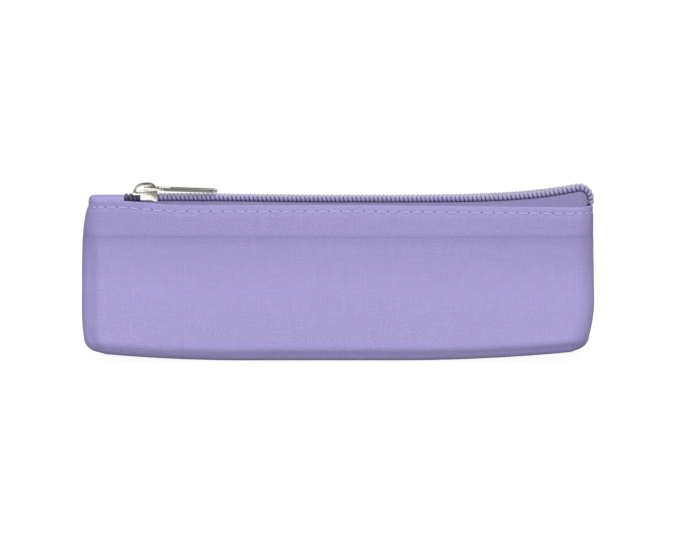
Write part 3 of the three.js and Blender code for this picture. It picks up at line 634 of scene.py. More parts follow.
# cloth walls: grid, lip, slack, seams, then the relief at the foam's edge, at the left end and along the bottom
wall = {
    "ends": 8, "turns": 12, "front": 210, "roll": 8, "rows": (42, 8, 12, 7), "frontSeed": 7, "backSeed": 19,
    "lipSteps": 5, "lipArch": 82, "leftEndDrop": 0.3, "rightEndDrop": -0.5, "endCrease": 0.8,
    "slack": 0.2, "slackLength": 60, "slackWaves": 6, "slackFromLip": (1, 14), "slackFromFloor": (2, 16),
    "pucker": 0.1, "puckerWidth": 2.6, "groove": 0.2, "grooveWidth": 0.8, "seamDip": 0.55, "seamWidth": 1.4,
    "ridge": 0.15, "ridgeAbove": 1.7, "ridgeWidth": 1.2, "hollow": 0.17, "hollowBelow": 2.3, "hollowWidth": 2,
    "pinch": 0.6, "pinchAt": -95.5, "pinchWidth": 1.6, "pinchHeight": 9, "pinchTall": 6, "pinchSlope": 0.55,
    "pinchLevel": 8, "foldRise": 0.4, "foldRiseAt": -92.6, "foldRiseWidth": 1.5, "foldDip": 0.45, "foldDipAt": -96,
    "foldDipWidth": 1.8, "foldFoot": (4, 14), "foldTop": (52, 40),
    "facet": 0.85, "facetHeight": 2.6, "facetWidth": 1.8, "facetLeft": 0.35, "facetRun": (-75, -15),
}


# relief of the cloth, in mm along its normal, from the run u round the wall, the run v below the lip and the height:
# a sum of slack waves, a cosine pucker per stitch, and bell curves at the stitches, the foam's edge, seams and folds
def clothRelief(u, v, x, z, face, seed):
    whole = u[-1:]
    fade = smoothStep(*wall["slackFromLip"], v) * smoothStep(*wall["slackFromFloor"], z)
    slack = wall["slack"] * slackWaves(u, v, seed, wall["slackLength"], wall["slackWaves"]) * fade
    pucker = wall["pucker"] * np.cos(2 * math.pi * u / stitch["pitch"]) * gauss(v, stitch["drop"], wall["puckerWidth"])
    groove = -wall["groove"] * gauss(v, stitch["drop"], wall["grooveWidth"])
    half = body["creaseHeight"] / 2
    flush = creaseAt(z) * (1 - smoothStep(body["foamTop"] + half, body["lipHeight"], z))
    ridge = wall["ridge"] * gauss(z, body["foamTop"] + wall["ridgeAbove"], wall["ridgeWidth"])
    hollow = wall["hollow"] * gauss(z, body["foamTop"] - wall["hollowBelow"], wall["hollowWidth"])
    edge = face * (flush + ridge - hollow)
    seam = -wall["seamDip"] * (gauss(u, 0, wall["seamWidth"]) + gauss(whole - u, 0, wall["seamWidth"]))
    slant = x + wall["pinchSlope"] * (z - wall["pinchLevel"])
    pinch = -wall["pinch"] * gauss(slant, wall["pinchAt"], wall["pinchWidth"])
    pinch = pinch * gauss(z, wall["pinchHeight"], wall["pinchTall"]) * face
    rise = wall["foldRise"] * gauss(x, wall["foldRiseAt"], wall["foldRiseWidth"])
    dip = wall["foldDip"] * gauss(x, wall["foldDipAt"], wall["foldDipWidth"])
    fold = (rise - dip) * smoothStep(*wall["foldFoot"], z) * smoothStep(*wall["foldTop"], z)
    along = wall["facetLeft"] + (1 - wall["facetLeft"]) * smoothStep(*wall["facetRun"], x)
    facet = -wall["facet"] * along * gauss(z - floorAt(x), wall["facetHeight"], wall["facetWidth"]) * face
    return slack + pucker + groove + edge + seam + pinch + fold + facet


# runs over a wall: u round its middle row, v down from its top edge
def wallRuns(outer):
    middle = outer.shape[1] // 2
    u = runLength(outer, 0)[:, middle:middle + 1] + 0 * outer[..., 0]
    return u, runLength(outer[:, ::-1], 1)[:, ::-1]


# cloth wall: both faces of the wall with a rounded lip and a thicker hem, each moved by the relief along the normal
def clothWall(seed):
    columns = outlineColumns(wall["ends"], wall["turns"], wall["front"])
    top = edgeAt(columns, 0, wall["leftEndDrop"], wall["rightEndDrop"])
    hemHalf = sheets["hem"] / 2
    crease = body["foamTop"] + body["creaseHeight"] / 2 * np.array([-1, 1])
    z = heightRows(columns, [crease[0], crease[1], top - stitch["drop"], top - hemHalf], wall["rows"])
    arch = np.arange(1, wall["lipSteps"] + 1) / wall["lipSteps"] * math.radians(wall["lipArch"])
    lip = top - hemHalf + hemHalf * np.sin(arch)[None]
    z = np.concatenate([z, lip], axis=1)
    outerIn = np.zeros_like(z)
    outerIn[:, -wall["lipSteps"]:] = hemHalf * (1 - np.cos(arch))
    hem = smoothStep(sheets["hemDepth"] + 1, sheets["hemDepth"] - 1, top - z)
    innerIn = sheets["cloth"] + (sheets["hem"] - sheets["cloth"]) * hem
    innerIn[:, -wall["lipSteps"]:] = sheets["hem"] - hemHalf * (1 - np.cos(arch))
    outer = wallSurface(columns, z, outerIn, 0, wall["roll"], wall["endCrease"])
    inner = wallSurface(columns, z, innerIn, sheets["cloth"], wall["roll"], wall["endCrease"])
    u, v = wallRuns(outer)
    normals = gridNormals(outer)
    lift = clothRelief(u, v, outer[..., 0], outer[..., 2], faceOf(columns, 1), seed)[..., None] * normals
    stitchRow = wall["roll"] + sum(wall["rows"][:3])
    return columns, outer + lift, inner + lift, np.stack([u, -v], axis=-1), normals, stitchRow


# stitches: short arcs of thread from hole to hole, carried along one row of the wall
def stitchTubes(name, outer, uv, normals, row, first, last, mirror=False):
    along = uv[:, row, 0]
    knots = np.arange(math.ceil(first / stitch["pitch"]), math.floor(last / stitch["pitch"]))
    t = np.linspace(0, 1, stitch["steps"] + 1)
    spare = (stitch["pitch"] - stitch["length"]) / 2
    runs = knots[:, None] * stitch["pitch"] + spare + stitch["length"] * t[None]
    pick = lambda grid: np.stack([np.interp(runs, along, grid[:, row, k]) for k in range(3)], axis=-1)
    lift = (stitch["lift"] * np.sin(math.pi * t) ** stitch["arch"] + stitch["clear"])[None, :, None]
    lines, facing = pick(outer) + pick(normals) * lift, pick(normals)
    if mirror:
        lines, facing = lines * [1, -1, 1], facing * [1, -1, 1]
    radii = stitch["thread"] * np.sqrt(np.clip(1 - (2 * t - 1) ** 4, stitch["tip"], 1))
    return tubeObject(name, lines, facing, radii, stitch["sides"])


# flat size of a cloth wall or a part of it, in metres: its runs round and down
def clothFlat(uv, part=slice(None)):
    return float(np.ptp(uv[part][:, 0, 0])) * mm, float(np.ptp(uv[0, :, 1])) * mm


columns, outer, inner, clothUv, clothNormals, stitchRow = clothWall(wall["frontSeed"])
for half, part in frontHalves(plainX(columns)):
    piece = sheetObject(f"clothFront{half}", outer, inner, clothUv, part)
    dress(piece, lavenderCloth, "cloth", "outer_front_panel")
    holdFront(piece, half)
    over = stitch["pitch"] * (half == "Left")  # the left half has the stitch over the split
    ends = clothUv[part][[0, -1], stitchRow, 0] + [0, over]
    sewn = stitchTubes(f"stitchFront{half}", outer, clothUv, clothNormals, stitchRow, ends[0], ends[1])
    dress(sewn, thread, "cloth")
    holdFront(sewn, half)
    size = clothFlat(clothUv, part)

columns, outer, inner, clothUv, clothNormals, stitchRow = clothWall(wall["backSeed"])
back = sheetObject("clothBack", outer, inner, clothUv, mirror=True)
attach(dress(back, lavenderCloth, "cloth", "outer_back_panel"), "case")
sewn = stitchTubes("stitchBack", outer, clothUv, clothNormals, stitchRow, 0, clothUv[-1, 0, 0], mirror=True)
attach(dress(sewn, thread, "cloth"), "case")
size = clothFlat(clothUv)
print("cloth walls made")


# foam and lining walls: the same wall at their own insets
innerWall = {"ends": 4, "turns": 8, "front": 90, "roll": 5, "foamFront": 210, "foamClear": 0.05, "foamRows": (14, 4),
             "liningRows": (24, 10, 8), "liningDrop": 3.7, "liningSeed": 5,
             "crinkle": 0.1, "crinkleLength": 16, "crinkleWaves": 7}


# foam gives way where the cloth over it dips by more than the gap between them
def foamWall(seed):
    columns = outlineColumns(wall["ends"], wall["turns"], innerWall["foamFront"])
    z = heightRows(columns, [body["foamTop"] - body["creaseHeight"] / 2, body["foamTop"]], innerWall["foamRows"])
    flat = np.zeros_like(z)
    cover = wallSurface(columns, z, flat, 0, innerWall["roll"], wall["endCrease"])
    u, v = wallRuns(cover)
    v = v + body["lipHeight"] - body["foamTop"]
    relief = clothRelief(u, v, cover[..., 0], cover[..., 2], faceOf(columns, 1), seed)
    press = np.minimum(relief + sheets["gap"] - innerWall["foamClear"], 0)[..., None]
    outer = wallSurface(columns, z, flat + foamInset, foamInset, innerWall["roll"])
    outer = outer + press * gridNormals(outer)
    deep = foamInset + sheets["foam"]
    return columns, outer, wallSurface(columns, z, flat + deep, deep, innerWall["roll"])


# lining: from the roll to a little below the lip, crinkled along its normal by slack waves
def liningWall(seed):
    columns = outlineColumns(innerWall["ends"], innerWall["turns"], innerWall["front"])
    top = edgeAt(columns, innerWall["liningDrop"], body["endLipDrop"], body["endLipDrop"])
    stops = [body["foamTop"] - body["creaseHeight"] / 2, body["foamTop"] + body["creaseHeight"], top]
    z = heightRows(columns, stops, innerWall["liningRows"])
    inset = liningInset(z)
    outer = wallSurface(columns, z, inset, thickLining, innerWall["roll"])
    inner = wallSurface(columns, z, inset + sheets["lining"], thickLining + sheets["lining"], innerWall["roll"])
    u, v = runLength(outer, 0), runLength(outer, 1)
    waves = slackWaves(u, v, seed, innerWall["crinkleLength"], innerWall["crinkleWaves"])
    crinkle = innerWall["crinkle"] * waves[..., None] * gridNormals(outer)
    return columns, outer + crinkle, inner + crinkle


# UV map of a grid: its running lengths both ways
def gridUv(outer):
    return np.stack([runLength(outer, 0), runLength(outer, 1)], axis=-1)


# both front halves and the mirrored back of an inner wall, with the grid of each
def innerWalls(name, front, rear, material, slot, node):
    columns, outer, inner = front
    for half, part in frontHalves(plainX(columns)):
        piece = sheetObject(f"{name}Front{half}", outer, inner, gridUv(outer), part)
        dress(piece, material, slot, f"{node}_front")
        holdFront(piece, half)
        yield piece, outer[part]
    _, outer, inner = rear
    piece = sheetObject(f"{name}Back", outer, inner, gridUv(outer), mirror=True)
    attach(dress(piece, material, slot, f"{node}_back"), "case")
    yield piece, outer


# flat size of a grid, in metres: its runs along the middle row and column
def flatSize(outer):
    run = gridUv(outer) * mm
    middle = run.shape[1] // 2
    return float(np.ptp(run[:, middle, 0])), float(np.ptp(run[run.shape[0] // 2, :, 1]))


foams = [foamWall(wall[seed]) for seed in ("frontSeed", "backSeed")]
for piece, _ in innerWalls("foam", *foams, foam, "foam", "foam"):
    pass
linings = [liningWall(innerWall["liningSeed"])] * 2
for piece, grid in innerWalls("lining", *linings, foil, "foil", "lining"):
    flatSize(grid)
print("inner walls made")

floorLook = {"along": 120, "across": 16, "margin": 0.05, "edgeLift": 0.25, "sidePower": 12, "endPower": 60,
             "topFall": 1.6, "thin": 0.5}


# floor sheets: flat in the middle, curled up at both ends, corners rounded in plan, edges lifted by high powers
def floorSheet(name, bottom, thickness, material, slot, node):
    margin = body["seamGap"] + floorLook["margin"]
    inset = body["rollRadius"] + margin
    left, right = [float(endsAt(floorAt(side * halfLength) + body["rollRadius"], inset)[k])
                   for k, side in enumerate((-1, 1))]
    corner = body["cornerRadius"] - inset
    reach = (left + right) / 2
    s = np.sin(np.linspace(-1, 1, floorLook["along"] + 1) * math.pi / 2)[:, None]
    x = reach * s + (right - left) / 2
    half = depthAt(floorAt(x) + body["rollRadius"]) - inset
    f = np.sin(np.linspace(-1, 1, floorLook["across"] + 1) * math.pi / 2)[None]
    over = np.clip(reach * np.abs(s) - (reach - corner), 0, corner)
    y = f * (half - corner + np.sqrt(corner ** 2 - over ** 2))
    lift = floorLook["edgeLift"] * (np.abs(f) ** floorLook["sidePower"] + np.abs(s) ** floorLook["endPower"])
    low = np.stack([x + 0 * y, y, floorAt(x) + bottom + np.minimum(lift, floorLook["edgeLift"])], axis=-1)
    fall = floorLook["topFall"] * lift * (thickness > floorLook["thin"])  # rounds the top edge of a thick sheet
    high = low + [0, 0, thickness] - np.stack([0 * y, 0 * y, fall], axis=-1)
    piece = sheetObject(name, high, low, np.stack([x + 0 * y, y], axis=-1))
    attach(dress(piece, material, slot, node), "case")
    return piece, (2 * reach * mm, 2 * float(half.max()) * mm)


piece, size = floorSheet("clothBase", 0, sheets["cloth"], plainCloth, "cloth", "outer_base_panel")
piece, _ = floorSheet("foamBase", foamInset, sheets["foam"], foam, "foam", "foam_base")
piece, size = floorSheet("liningBase", thickLining, sheets["lining"], foil, "foil", "lining_base")
print("floor made")

# zip chain: close to the solids' line, with the real coil's finer pitch
chain = {
    "left": -81.5, "arcRadius": 4.2, "endInset": 2, "tail": 2.1, "leftRise": 0.55, "rightRise": 4.2, "power": 5,
    "lift": 0.6, "tuck": 0.6, "wire": 0.98, "width": 3, "height": 2.7, "solidHeight": 2.4, "overlap": 1, "pitch": 1.67,
    "parted": 2.55, "partStart": -72.9, "partRun": 6.5, "steps": 16, "sides": 7, "flat": 0.6, "squareness": 0.8,
    "lean": 13, "leanStart": 20, "leanEnd": 85, "leanLoss": 0.75, "lossBefore": 14, "lossAfter": 3,
    "core": 1.4, "coreSteps": 2, "coreSides": 10,
    "thread": 0.3, "threadWide": 1.5, "threadDip": 0.16, "threadFirst": 7, "threadSteps": 8, "threadSides": 8,
}
tapeToAxis = sheets["tape"] / 2 + sheets["gap"] + chain["solidHeight"] / 2
arcStart = halfLength - body["rightTaper"] - chain["endInset"] - chain["arcRadius"]
arcSlope = math.atan(chain["power"] * chain["rightRise"] / arcStart)
arcRun = chain["arcRadius"] * (arcSlope + math.pi / 2)
chainRun = arcStart - chain["left"] + arcRun + chain["tail"]
coilTurns = round(chainRun / chain["pitch"])
coilReach = chain["width"] / 2
meshed = coilReach - chain["overlap"] / 2


# height of the coils' middle line: a smooth step up to the left, a high power up to the right
def chainHeight(x):
    left = chain["leftRise"] * smoothStep(0, halfLength - body["leftLipRun"], -x)
    right = chain["rightRise"] * np.clip(x / arcStart, 0, None) ** chain["power"]
    return body["lipHeight"] - chain["tuck"] + chain["lift"] + tapeToAxis + left + right


# middle line of the coils: a sagging curve, a quarter turn down over the right end, a straight tail
def chainAt(run):
    x = chain["left"] + run
    share = np.clip(x / arcStart, 0, None)
    heading = np.arctan(chain["power"] * chain["rightRise"] * share ** (chain["power"] - 1) / arcStart)
    past = np.clip(x - arcStart, 0, arcRun)
    turned = arcSlope - past / chain["arcRadius"]
    hubX = arcStart + chain["arcRadius"] * math.sin(arcSlope)
    hubZ = float(chainHeight(np.array(arcStart))) - chain["arcRadius"] * math.cos(arcSlope)
    tail = np.clip(x - arcStart - arcRun, 0, None)
    bent = x > arcStart
    px = np.where(bent, hubX - chain["arcRadius"] * np.sin(turned), x)
    pz = np.where(bent, hubZ + chain["arcRadius"] * np.cos(turned) - tail, chainHeight(x))
    return px, pz, np.where(bent, turned, heading)


# distance of a coil from the middle plane: a smooth step from parted to meshed
def offsetAt(x):
    parting = smoothStep(chain["partStart"] - chain["partRun"], chain["partStart"], x)
    return chain["parted"] + (meshed - chain["parted"]) * parting


# cross-section leant towards the viewer about the chain's middle line; the front coil keeps its height
def leant(x, across, up):
    turn = math.radians(chain["lean"]) * smoothStep(chain["leanStart"], chain["leanEnd"], x)
    loss = smoothStep(arcStart - chain["lossBefore"], arcStart + chain["lossAfter"], x)
    turn = turn * (1 - chain["leanLoss"] * loss)
    return across * np.cos(turn) - up * np.sin(turn), across * np.sin(turn) + up * np.cos(turn), meshed * np.sin(turn)


# line on one side of the chain, by turns of the coil: across from that side's middle and up along the chain's normal,
# both leant, with x and the heading of the chain
def sideLine(turns, side, across, up):
    x, z, heading = chainAt(turns * chainRun / coilTurns)
    y, high, raised = leant(x, side * offsetAt(x) + across, up)
    high = high + raised
    return np.stack([x - np.sin(heading) * high, y, z + np.cos(heading) * high], axis=-1), x, heading


# coil: a flattened helix round the chain's middle line, both sides meshing half a pitch apart
def coilTube(name, side, first, last):
    turns = np.linspace(first, last, int((last - first) * chain["steps"]) + 1)
    angle = turns * 2 * math.pi
    wide, high = (chain["width"] - chain["wire"]) / 2, (chain["height"] - chain["wire"]) / 2
    across, lift = np.cos(angle), np.sin(angle)
    lift = np.sign(lift) * np.abs(lift) ** chain["squareness"]
    line, x, heading = sideLine(turns, side, wide * across, high * lift)
    y, up, _ = leant(x, across, lift)
    facing = np.stack([-np.sin(heading) * up, y, np.cos(heading) * up], axis=-1)
    radii = np.full(len(turns), chain["wire"] / 2)
    wider = 1 + chain["flat"] * (0.5 + 0.5 * side * across)
    # the height within each turn goes to the UV map, where the coil's material paints the tops paler as a painted
    # highlight
    return tubeObject(name, line[None], facing[None], radii, chain["sides"], wider[None, :, None], lift)


# core cord that the coil is wound on: a plain tube along the coil's own middle line
def coreTube(name, side, first, last):
    turns = np.linspace(first, last, int(last - first) * chain["coreSteps"] + 1)
    line, x, _ = sideLine(turns, side, 0, 0)
    facing = np.stack([0 * x, 1 + 0 * x, 0 * x], axis=-1)
    return tubeObject(name, line[None], facing[None], np.full(len(turns), chain["core"] / 2), chain["coreSides"])


# sewing thread over a coil: a flat tube along its top that dips between the turns, as a cosine of the turn
# that is highest a quarter turn in, where the coil is
def threadTube(name, side, first, last):
    turns = np.linspace(first, last, int(last - first) * chain["threadSteps"] + 1)
    top = chain["height"] / 2 + chain["threadDip"] * (np.cos(2 * math.pi * (turns - 0.25)) - 1)
    line, x, heading = sideLine(turns, side, 0, top)
    facing = np.stack([-np.sin(heading), 0 * x, np.cos(heading)], axis=-1)
    radii = np.full(len(turns), chain["thread"])
    return tubeObject(name, line[None], facing[None], radii, chain["threadSides"], chain["threadWide"])


splitTurn = round((frontHold["split"] - chain["left"]) / chainRun * coilTurns)
for half, first, last in [("Left", -1, splitTurn), ("Right", splitTurn, coilTurns)]:
    holdFront(dress(coilTube(f"coilFront{half}", -1, first, last), nylon, "coil", "zip_coil_front"), half)
    holdFront(dress(coreTube(f"coilCoreFront{half}", -1, first, last - (half == "Right")), coreCord, "coil"), half)
    sewn = threadTube(f"coilThreadFront{half}", -1, max(first, chain["threadFirst"]), last)
    holdFront(dress(sewn, sewing, "coil"), half)
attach(dress(coilTube("coilBack", 1, -1, coilTurns), nylon, "coil", "zip_coil_back"), "case")
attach(dress(coreTube("coilCoreBack", 1, 0, coilTurns - 1), coreCord, "coil"), "case")
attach(dress(threadTube("coilThreadBack", 1, chain["threadFirst"], coilTurns), sewing, "coil"), "case")

tape = {"lift": 0.3, "seam": 5, "clearance": 0.25, "least": 0.2, "steps": 189, "arcSteps": 23, "past": 4}


# distance of the wall from the middle plane: half depth less the round of the corner, with the belly and the crease
def lipSide(x, z, inset):
    (left, right), corner = endsAt(z, inset), cornerAt(z) - inset
    over = np.clip(np.maximum(corner - left - x, x + corner - right), 0, corner)
    turned = corner - np.sqrt(corner ** 2 - over ** 2)
    return depthAt(z) - inset - turned + bulgeAt(x, z) - creaseAt(z)


# tape: flat under the coil, down to the lip, then turned down behind the cloth
# lift is off its middle layer, and rise says how many times the lean raises it
def tapeSurface(run, lift, rise):
    x, z, heading = chainAt(run)
    inset = sheets["hem"] + sheets["gap"] + sheets["tape"] / 2
    up = lift - tapeToAxis + tape["lift"]
    px, pz = x - np.sin(heading) * up, z + np.cos(heading) * up
    foldZ = np.minimum(lipAt(x) - chain["tuck"], z - tapeToAxis)
    seamZ = foldZ - tape["seam"]
    foldY = lipSide(px, foldZ, inset)
    bend = np.minimum(offsetAt(x) + coilReach + tape["clearance"], foldY - 2 * sheets["tape"])
    inner = np.minimum(offsetAt(x) - coilReach + chain["overlap"] / 2 + sheets["gap"], bend - tape["least"])
    ys = [inner, bend, foldY + lift, lipSide(px, seamZ, inset) + lift]
    raised = rise * leant(x, 0, 0)[2]
    zs = [pz + raised, pz + raised, foldZ + lift, seamZ]
    # rows across the tape, as shares of its four places
    share = np.array([[1, 0, 0, 0], [0.5, 0.5, 0, 0], [0.1, 0.9, 0, 0], [0, 0.9, 0.1, 0], [0, 0.6, 0.4, 0],
                      [0, 0.3, 0.7, 0], [0, 0.06, 0.88, 0.06], [0, 0, 0.8, 0.2], [0, 0, 0.4, 0.6], [0, 0, 0, 1]])
    y, z = np.stack(ys, axis=-1) @ share.T, np.stack(zs, axis=-1) @ share.T
    return np.stack([px[:, None] + 0 * y, -y, z], axis=-1)


tapeLeft = -(halfLength - body["leftTaper"] - foamInset - body["mouthStraight"])
arcAt = arcStart - chain["left"]
runs = np.concatenate([np.linspace(tapeLeft - chain["left"], arcAt, tape["steps"] + 1)[:-1],
                       np.linspace(arcAt, chainRun + tape["past"], tape["arcSteps"] + 1)])
upper, under = [tapeSurface(runs, face * sheets["tape"] / 2, 0) for face in (1, -1)]
for half, part in frontHalves(chain["left"] + runs):
    piece = sheetObject(f"tapeFront{half}", under, upper, gridUv(upper), part)
    holdFront(dress(piece, tapeCloth, "tape", "zip_tape_front"), half)
    flatSize(upper[part])
upper, under = [tapeSurface(runs, face * sheets["tape"] / 2, 2) for face in (1, -1)]
piece = sheetObject("tapeBack", under, upper, gridUv(upper), mirror=True)
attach(dress(piece, tapeCloth, "tape", "zip_tape_back"), "case")
flatSize(upper)
print("zip made")

metal = {"merge": 0.001, "flatAngle": 2, "sliderEdge": 0.22, "pullEdge": 0.45, "bevelSteps": 3, "bevelAngle": 28}


# hard pieces: a copy of the solid, its triangles merged
def solidCopy(node, name, material):
    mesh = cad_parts[node].data.copy()
    mesh.name = name
    shape = bmesh.new()
    shape.from_mesh(mesh)
    bmesh.ops.remove_doubles(shape, verts=shape.verts, dist=metal["merge"] * mm)
    flat = math.radians(metal["flatAngle"])
    bmesh.ops.dissolve_limit(shape, angle_limit=flat, verts=shape.verts, edges=shape.edges)
    shape.to_mesh(mesh)
    shape.free()
    return dress(addObject(name, mesh), material, "nickel", node)


# eases sharp edges with a bevel
def easeEdges(piece, width):
    piece.data.polygons.foreach_set("use_smooth", np.ones(len(piece.data.polygons), dtype=bool))
    bevel = piece.modifiers.new("ease", "BEVEL")
    bevel.width, bevel.segments, bevel.limit_method = width * mm, metal["bevelSteps"], "ANGLE"
    bevel.angle_limit, bevel.harden_normals = math.radians(metal["bevelAngle"]), True
    return piece


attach(easeEdges(solidCopy("zip_slider", "slider", nickel), metal["sliderEdge"]), "slider")
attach(easeEdges(solidCopy("zip_pull", "pull", pullNickel), metal["pullEdge"]), "pull")
holdFront(solidCopy("zip_top_stop_front", "topStopFront", darkNickel), "Left")
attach(solidCopy("zip_top_stop_back", "topStopBack", darkNickel), "case")
print("metal made")

# cloth tab across the lips, its edges turned down inside them
tab = {"right": -83.1, "left": -97, "half": 5.95, "corner": 2, "top": 63.05, "thick": 0.7, "turn": 0.65, "drop": 0.9,
       "crown": 0.15, "cornerFall": 0.3, "lap": 0.05, "along": 40, "across": 60}


# fold of a strip's edge, by its run past the start of the turn: how far out it goes and how far down
def turnedEdge(run, radius, drop):
    angle = np.clip(run / radius, 0, math.pi / 2)
    tail = np.clip(run - radius * math.pi / 2, 0, drop)
    return np.minimum(run, 0) + radius * np.sin(angle), radius * (1 - np.cos(angle)) + tail


# tab: a strip with three edges turned down and two rounded corners, crowned by a parabola across it
def endTab():
    turn = tab["turn"]
    over = turn * math.pi / 2 + tab["drop"]
    flatRun, flatHalf = tab["right"] - tab["left"] - turn, tab["half"] - turn
    run = np.linspace(0, flatRun + over, tab["along"] + 1)[:, None]
    across = np.linspace(-1, 1, tab["across"] + 1)[None] * (flatHalf + over)
    bend = np.clip(np.minimum(run, flatRun) - flatRun + tab["corner"], 0, tab["corner"])
    narrow = 1 - (tab["corner"] - np.sqrt(tab["corner"] ** 2 - bend ** 2)) / tab["half"]

    def layer(depth):
        out, fall = turnedEdge(run - flatRun, turn - depth, tab["drop"])
        side, sink = turnedEdge(np.abs(across) - flatHalf, turn - depth, tab["drop"])
        crown = tab["crown"] * (1 - np.clip(np.abs(across) / flatHalf, 0, 1) ** 2)
        y = np.sign(across) * (flatHalf + side) * narrow
        z = tab["top"] - depth + crown - np.maximum(fall, sink) - tab["cornerFall"] * np.minimum(fall, sink)
        return np.stack([tab["right"] - flatRun - out + 0 * y, y, z], axis=-1)

    uv = np.stack([run + 0 * across, across + 0 * run], axis=-1)
    piece = sheetObject("endTab", layer(tab["thick"] - tab["lap"]), layer(0), uv)
    return piece, (float(run[-1, 0]) * mm, 2 * (flatHalf + over) * mm)


piece, size = endTab()
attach(dress(piece, plainCloth, "cloth", "zip_end_tab"), "case")

binding = {"half": 2.5, "thick": 0.6, "bottom": 26, "rib": 0.12, "ribs": 3, "edgeFall": 0.3, "edgePower": 6,
           "along": 89, "across": 16}


# binding strips over the side seams, inside: flat behind, ribbed in front by a cosine and thinner at the edges
def bindingStrip(name, side, node):
    top = body["lipHeight"] - body["rightLipDrop"] - innerWall["liningDrop"] - body["endLipDrop"]
    z = np.linspace(binding["bottom"], top, binding["along"] + 1)[:, None]
    across = np.linspace(-1, 1, binding["across"] + 1)[None]
    inset = liningInset(z) + sheets["lining"] + creaseAt(z) + sheets["gap"]
    fall = binding["edgeFall"] * np.abs(across) ** binding["edgePower"]
    swell = binding["rib"] * np.cos(across * binding["ribs"] * math.pi) - fall
    end = endsAt(z, inset)[0 if side < 0 else 1]
    faces = [np.stack([side * (end - lift + 0 * across), binding["half"] * across + 0 * z, z + 0 * across], axis=-1)
             for lift in (0, binding["thick"] + swell)]
    outer, inner = faces if side < 0 else faces[::-1]
    piece = sheetObject(name, outer, inner, gridUv(outer))
    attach(dress(piece, bindingCloth, "binding", node), "case")


bindingStrip("bindingLeft", -1, "seam_binding_left")
bindingStrip("bindingRight", 1, "seam_binding_right")

pack = {"length": 150, "top": 45.5, "bottom": 7, "thick": 5, "edge": 0.8, "seal": 4, "endPower": 6, "sidePower": 4,
        "lump": 0.35, "lumpSeed": 3, "lumpLength": 34, "lumpWaves": 5, "crimp": 0.08, "crimpPitch": 1.5,
        "along": 150, "across": 40}


# cold pack: a gel pillow against the back lining, crowned by the root of two power laws, with crimped seals round it
def coldPack():
    u, v = [np.linspace(-1, 1, pack[way] + 1) for way in ("along", "across")]
    u, v = u[:, None], v[None]
    high = pack["top"] - pack["bottom"]
    x, z = u * pack["length"] / 2 + 0 * v, pack["bottom"] + (v + 1) / 2 * high + 0 * u
    inU = np.clip(np.abs(u) * pack["length"] / (pack["length"] - 2 * pack["seal"]), 0, 1)
    inV = np.clip(np.abs(v) * high / (high - 2 * pack["seal"]), 0, 1)
    crown = np.sqrt((1 - inU ** pack["endPower"]) * (1 - inV ** pack["sidePower"]))
    lumps = pack["lump"] * slackWaves(x, z, pack["lumpSeed"], pack["lumpLength"], pack["lumpWaves"]) * crown
    across, up = [pack["crimp"] * np.cos(2 * math.pi * way / pack["crimpPitch"]) for way in (x, z)]
    crimp = across * (inV >= 1) + up * (inU >= 1)
    wallY = depthAt(z) + bulgeAt(x, z) - creaseAt(z) - liningInset(z) - sheets["lining"] - sheets["gap"]
    swollen = pack["edge"] + (pack["thick"] - pack["edge"] - pack["lump"]) * crown + lumps + crimp
    front = np.stack([x, wallY - swollen, z], axis=-1)
    return sheetObject("coldPack", front, np.stack([x, wallY, z], axis=-1), np.stack([x, z], axis=-1))


piece = coldPack()
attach(dress(piece, gel, "gel_film", "gel_pack"), "case")
print("tab, bindings and cold pack made")

# camera at the photograph's angle, on a frame of 680 by 544: scale in mm per pixel, places in pixels
view = {"elevation": 8, "distance": 1.017, "scale": 0.3906, "scaleDepth": 4, "wide": 680, "middle": (340, 272),
        "axis": 338, "foot": 360.5, "footHeight": -1.8, "sensor": 36, "reach": 20}


def makeCamera():
    camera = bpy.data.cameras.new("camera")
    camera.sensor_width = view["sensor"]
    width = view["scale"] * view["wide"] * mm
    camera.lens = camera.sensor_width * (view["distance"] - view["scaleDepth"] * mm) / width
    camera.clip_end = view["reach"]
    tilt = math.radians(view["elevation"])
    aimX = (view["middle"][0] - view["axis"]) * view["scale"]
    aimZ = ((view["foot"] - view["middle"][1]) * view["scale"] + view["footHeight"]) / math.cos(tilt)
    holder = addObject("camera", camera)
    aim = Vector((aimX, 0, aimZ)) * mm
    holder.location = aim + Vector((0, -math.cos(tilt), math.sin(tilt))) * view["distance"]
    holder.rotation_euler = (math.pi / 2 - tilt, 0, 0)
    bpy.context.scene.camera = holder


# lamps: name, place, size and power in watts, all aimed at one point
lamps = [("keyPanel", (-0.06, -1.5, 0.24), 1.0, 17.2), ("topPanel", (0.2, -0.3, 1.4), 0.9, 5.2)]
lampAim = (0, 0, 0.03)
white = (1, 1, 1, 1)
# sky: strength on the object, in mirrors, and in mirrors of the side behind the pouch
sky = {"strength": 0.53, "mirrored": 0.3, "backdrop": 1.0, "backdropFrom": 0.4, "backdropTo": 0.9}
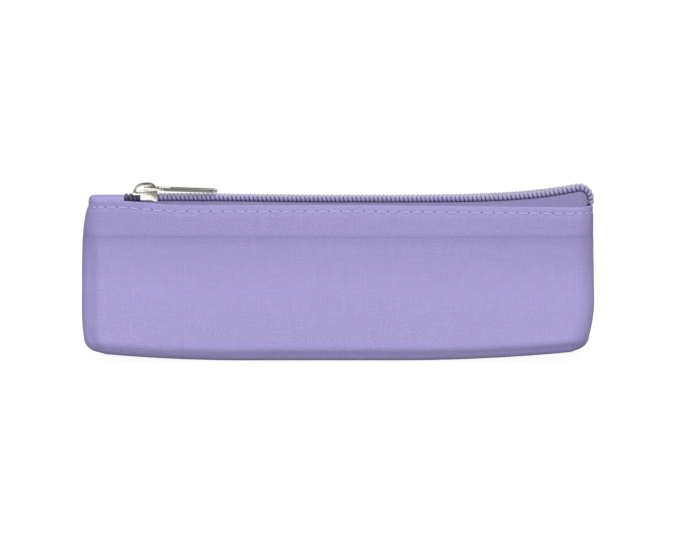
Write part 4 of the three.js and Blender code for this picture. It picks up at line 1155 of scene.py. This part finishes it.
# floor: white to the camera, darker to the right where metal mirrors it
ground = {"half": 6, "drop": 0.05, "colour": (0.12, 0.12, 0.12, 1), "glow": 0.93, "mirrored": 1.15, "shade": 0.5,
          "shadeRun": 0.3, "roughness": 0.9}


def makeLight():
    for name, place, size, power in lamps:
        lamp = bpy.data.lights.new(name, "AREA")
        lamp.energy, lamp.size = power, size
        holder = addObject(name, lamp)
        holder.location = place
        aim = Vector(lampAim) - Vector(place)
        holder.rotation_euler = aim.to_track_quat("-Z", "Y").to_euler()
        holder.visible_glossy = False
    world = bpy.data.worlds.new("studio")
    bpy.context.scene.world = world
    world.use_nodes = True
    tree = world.node_tree
    path = put(tree, "ShaderNodeLightPath").outputs
    back = axes(tree, put(tree, "ShaderNodeTexCoord").outputs["Generated"])[1]
    around, behind = sky["mirrored"] - sky["strength"], sky["backdrop"] - sky["strength"]
    change = ramp(tree, back, sky["backdropFrom"], sky["backdropTo"], around, behind)
    plain = calc(tree, "MULTIPLY_ADD", path["Is Glossy Ray"], change, sky["strength"])
    strength = calc(tree, "MAXIMUM", plain, path["Is Camera Ray"])
    tree.nodes["Background"].inputs["Color"].default_value = white
    tree.links.new(strength, tree.nodes["Background"].inputs["Strength"])


def makeFloor():
    half, low = ground["half"] / mm, -ground["drop"]
    floor = newObject("floor", [[-half, -half, low], [half, -half, low], [half, half, low], [-half, half, low]],
                      [[0, 1, 2, 3]])
    material, tree, shader = newMaterial("paleFloor", ground)
    shader.inputs["Base Color"].default_value = ground["colour"]
    shader.inputs["Emission Color"].default_value = white
    path = put(tree, "ShaderNodeLightPath").outputs
    x = axes(tree, objectPlace(tree))[0]
    fall = ramp(tree, x, 0.0, ground["shadeRun"], ground["mirrored"], ground["shade"])
    mirrored = calc(tree, "MULTIPLY", path["Is Glossy Ray"], fall)
    glow = calc(tree, "MULTIPLY_ADD", path["Is Camera Ray"], ground["glow"], mirrored)
    tree.links.new(glow, shader.inputs["Emission Strength"])
    floor.data.materials.append(material)


makeCamera()
makeLight()
makeFloor()
bpy.context.scene.view_settings.view_transform = "Standard"
print("camera, light and floor made")
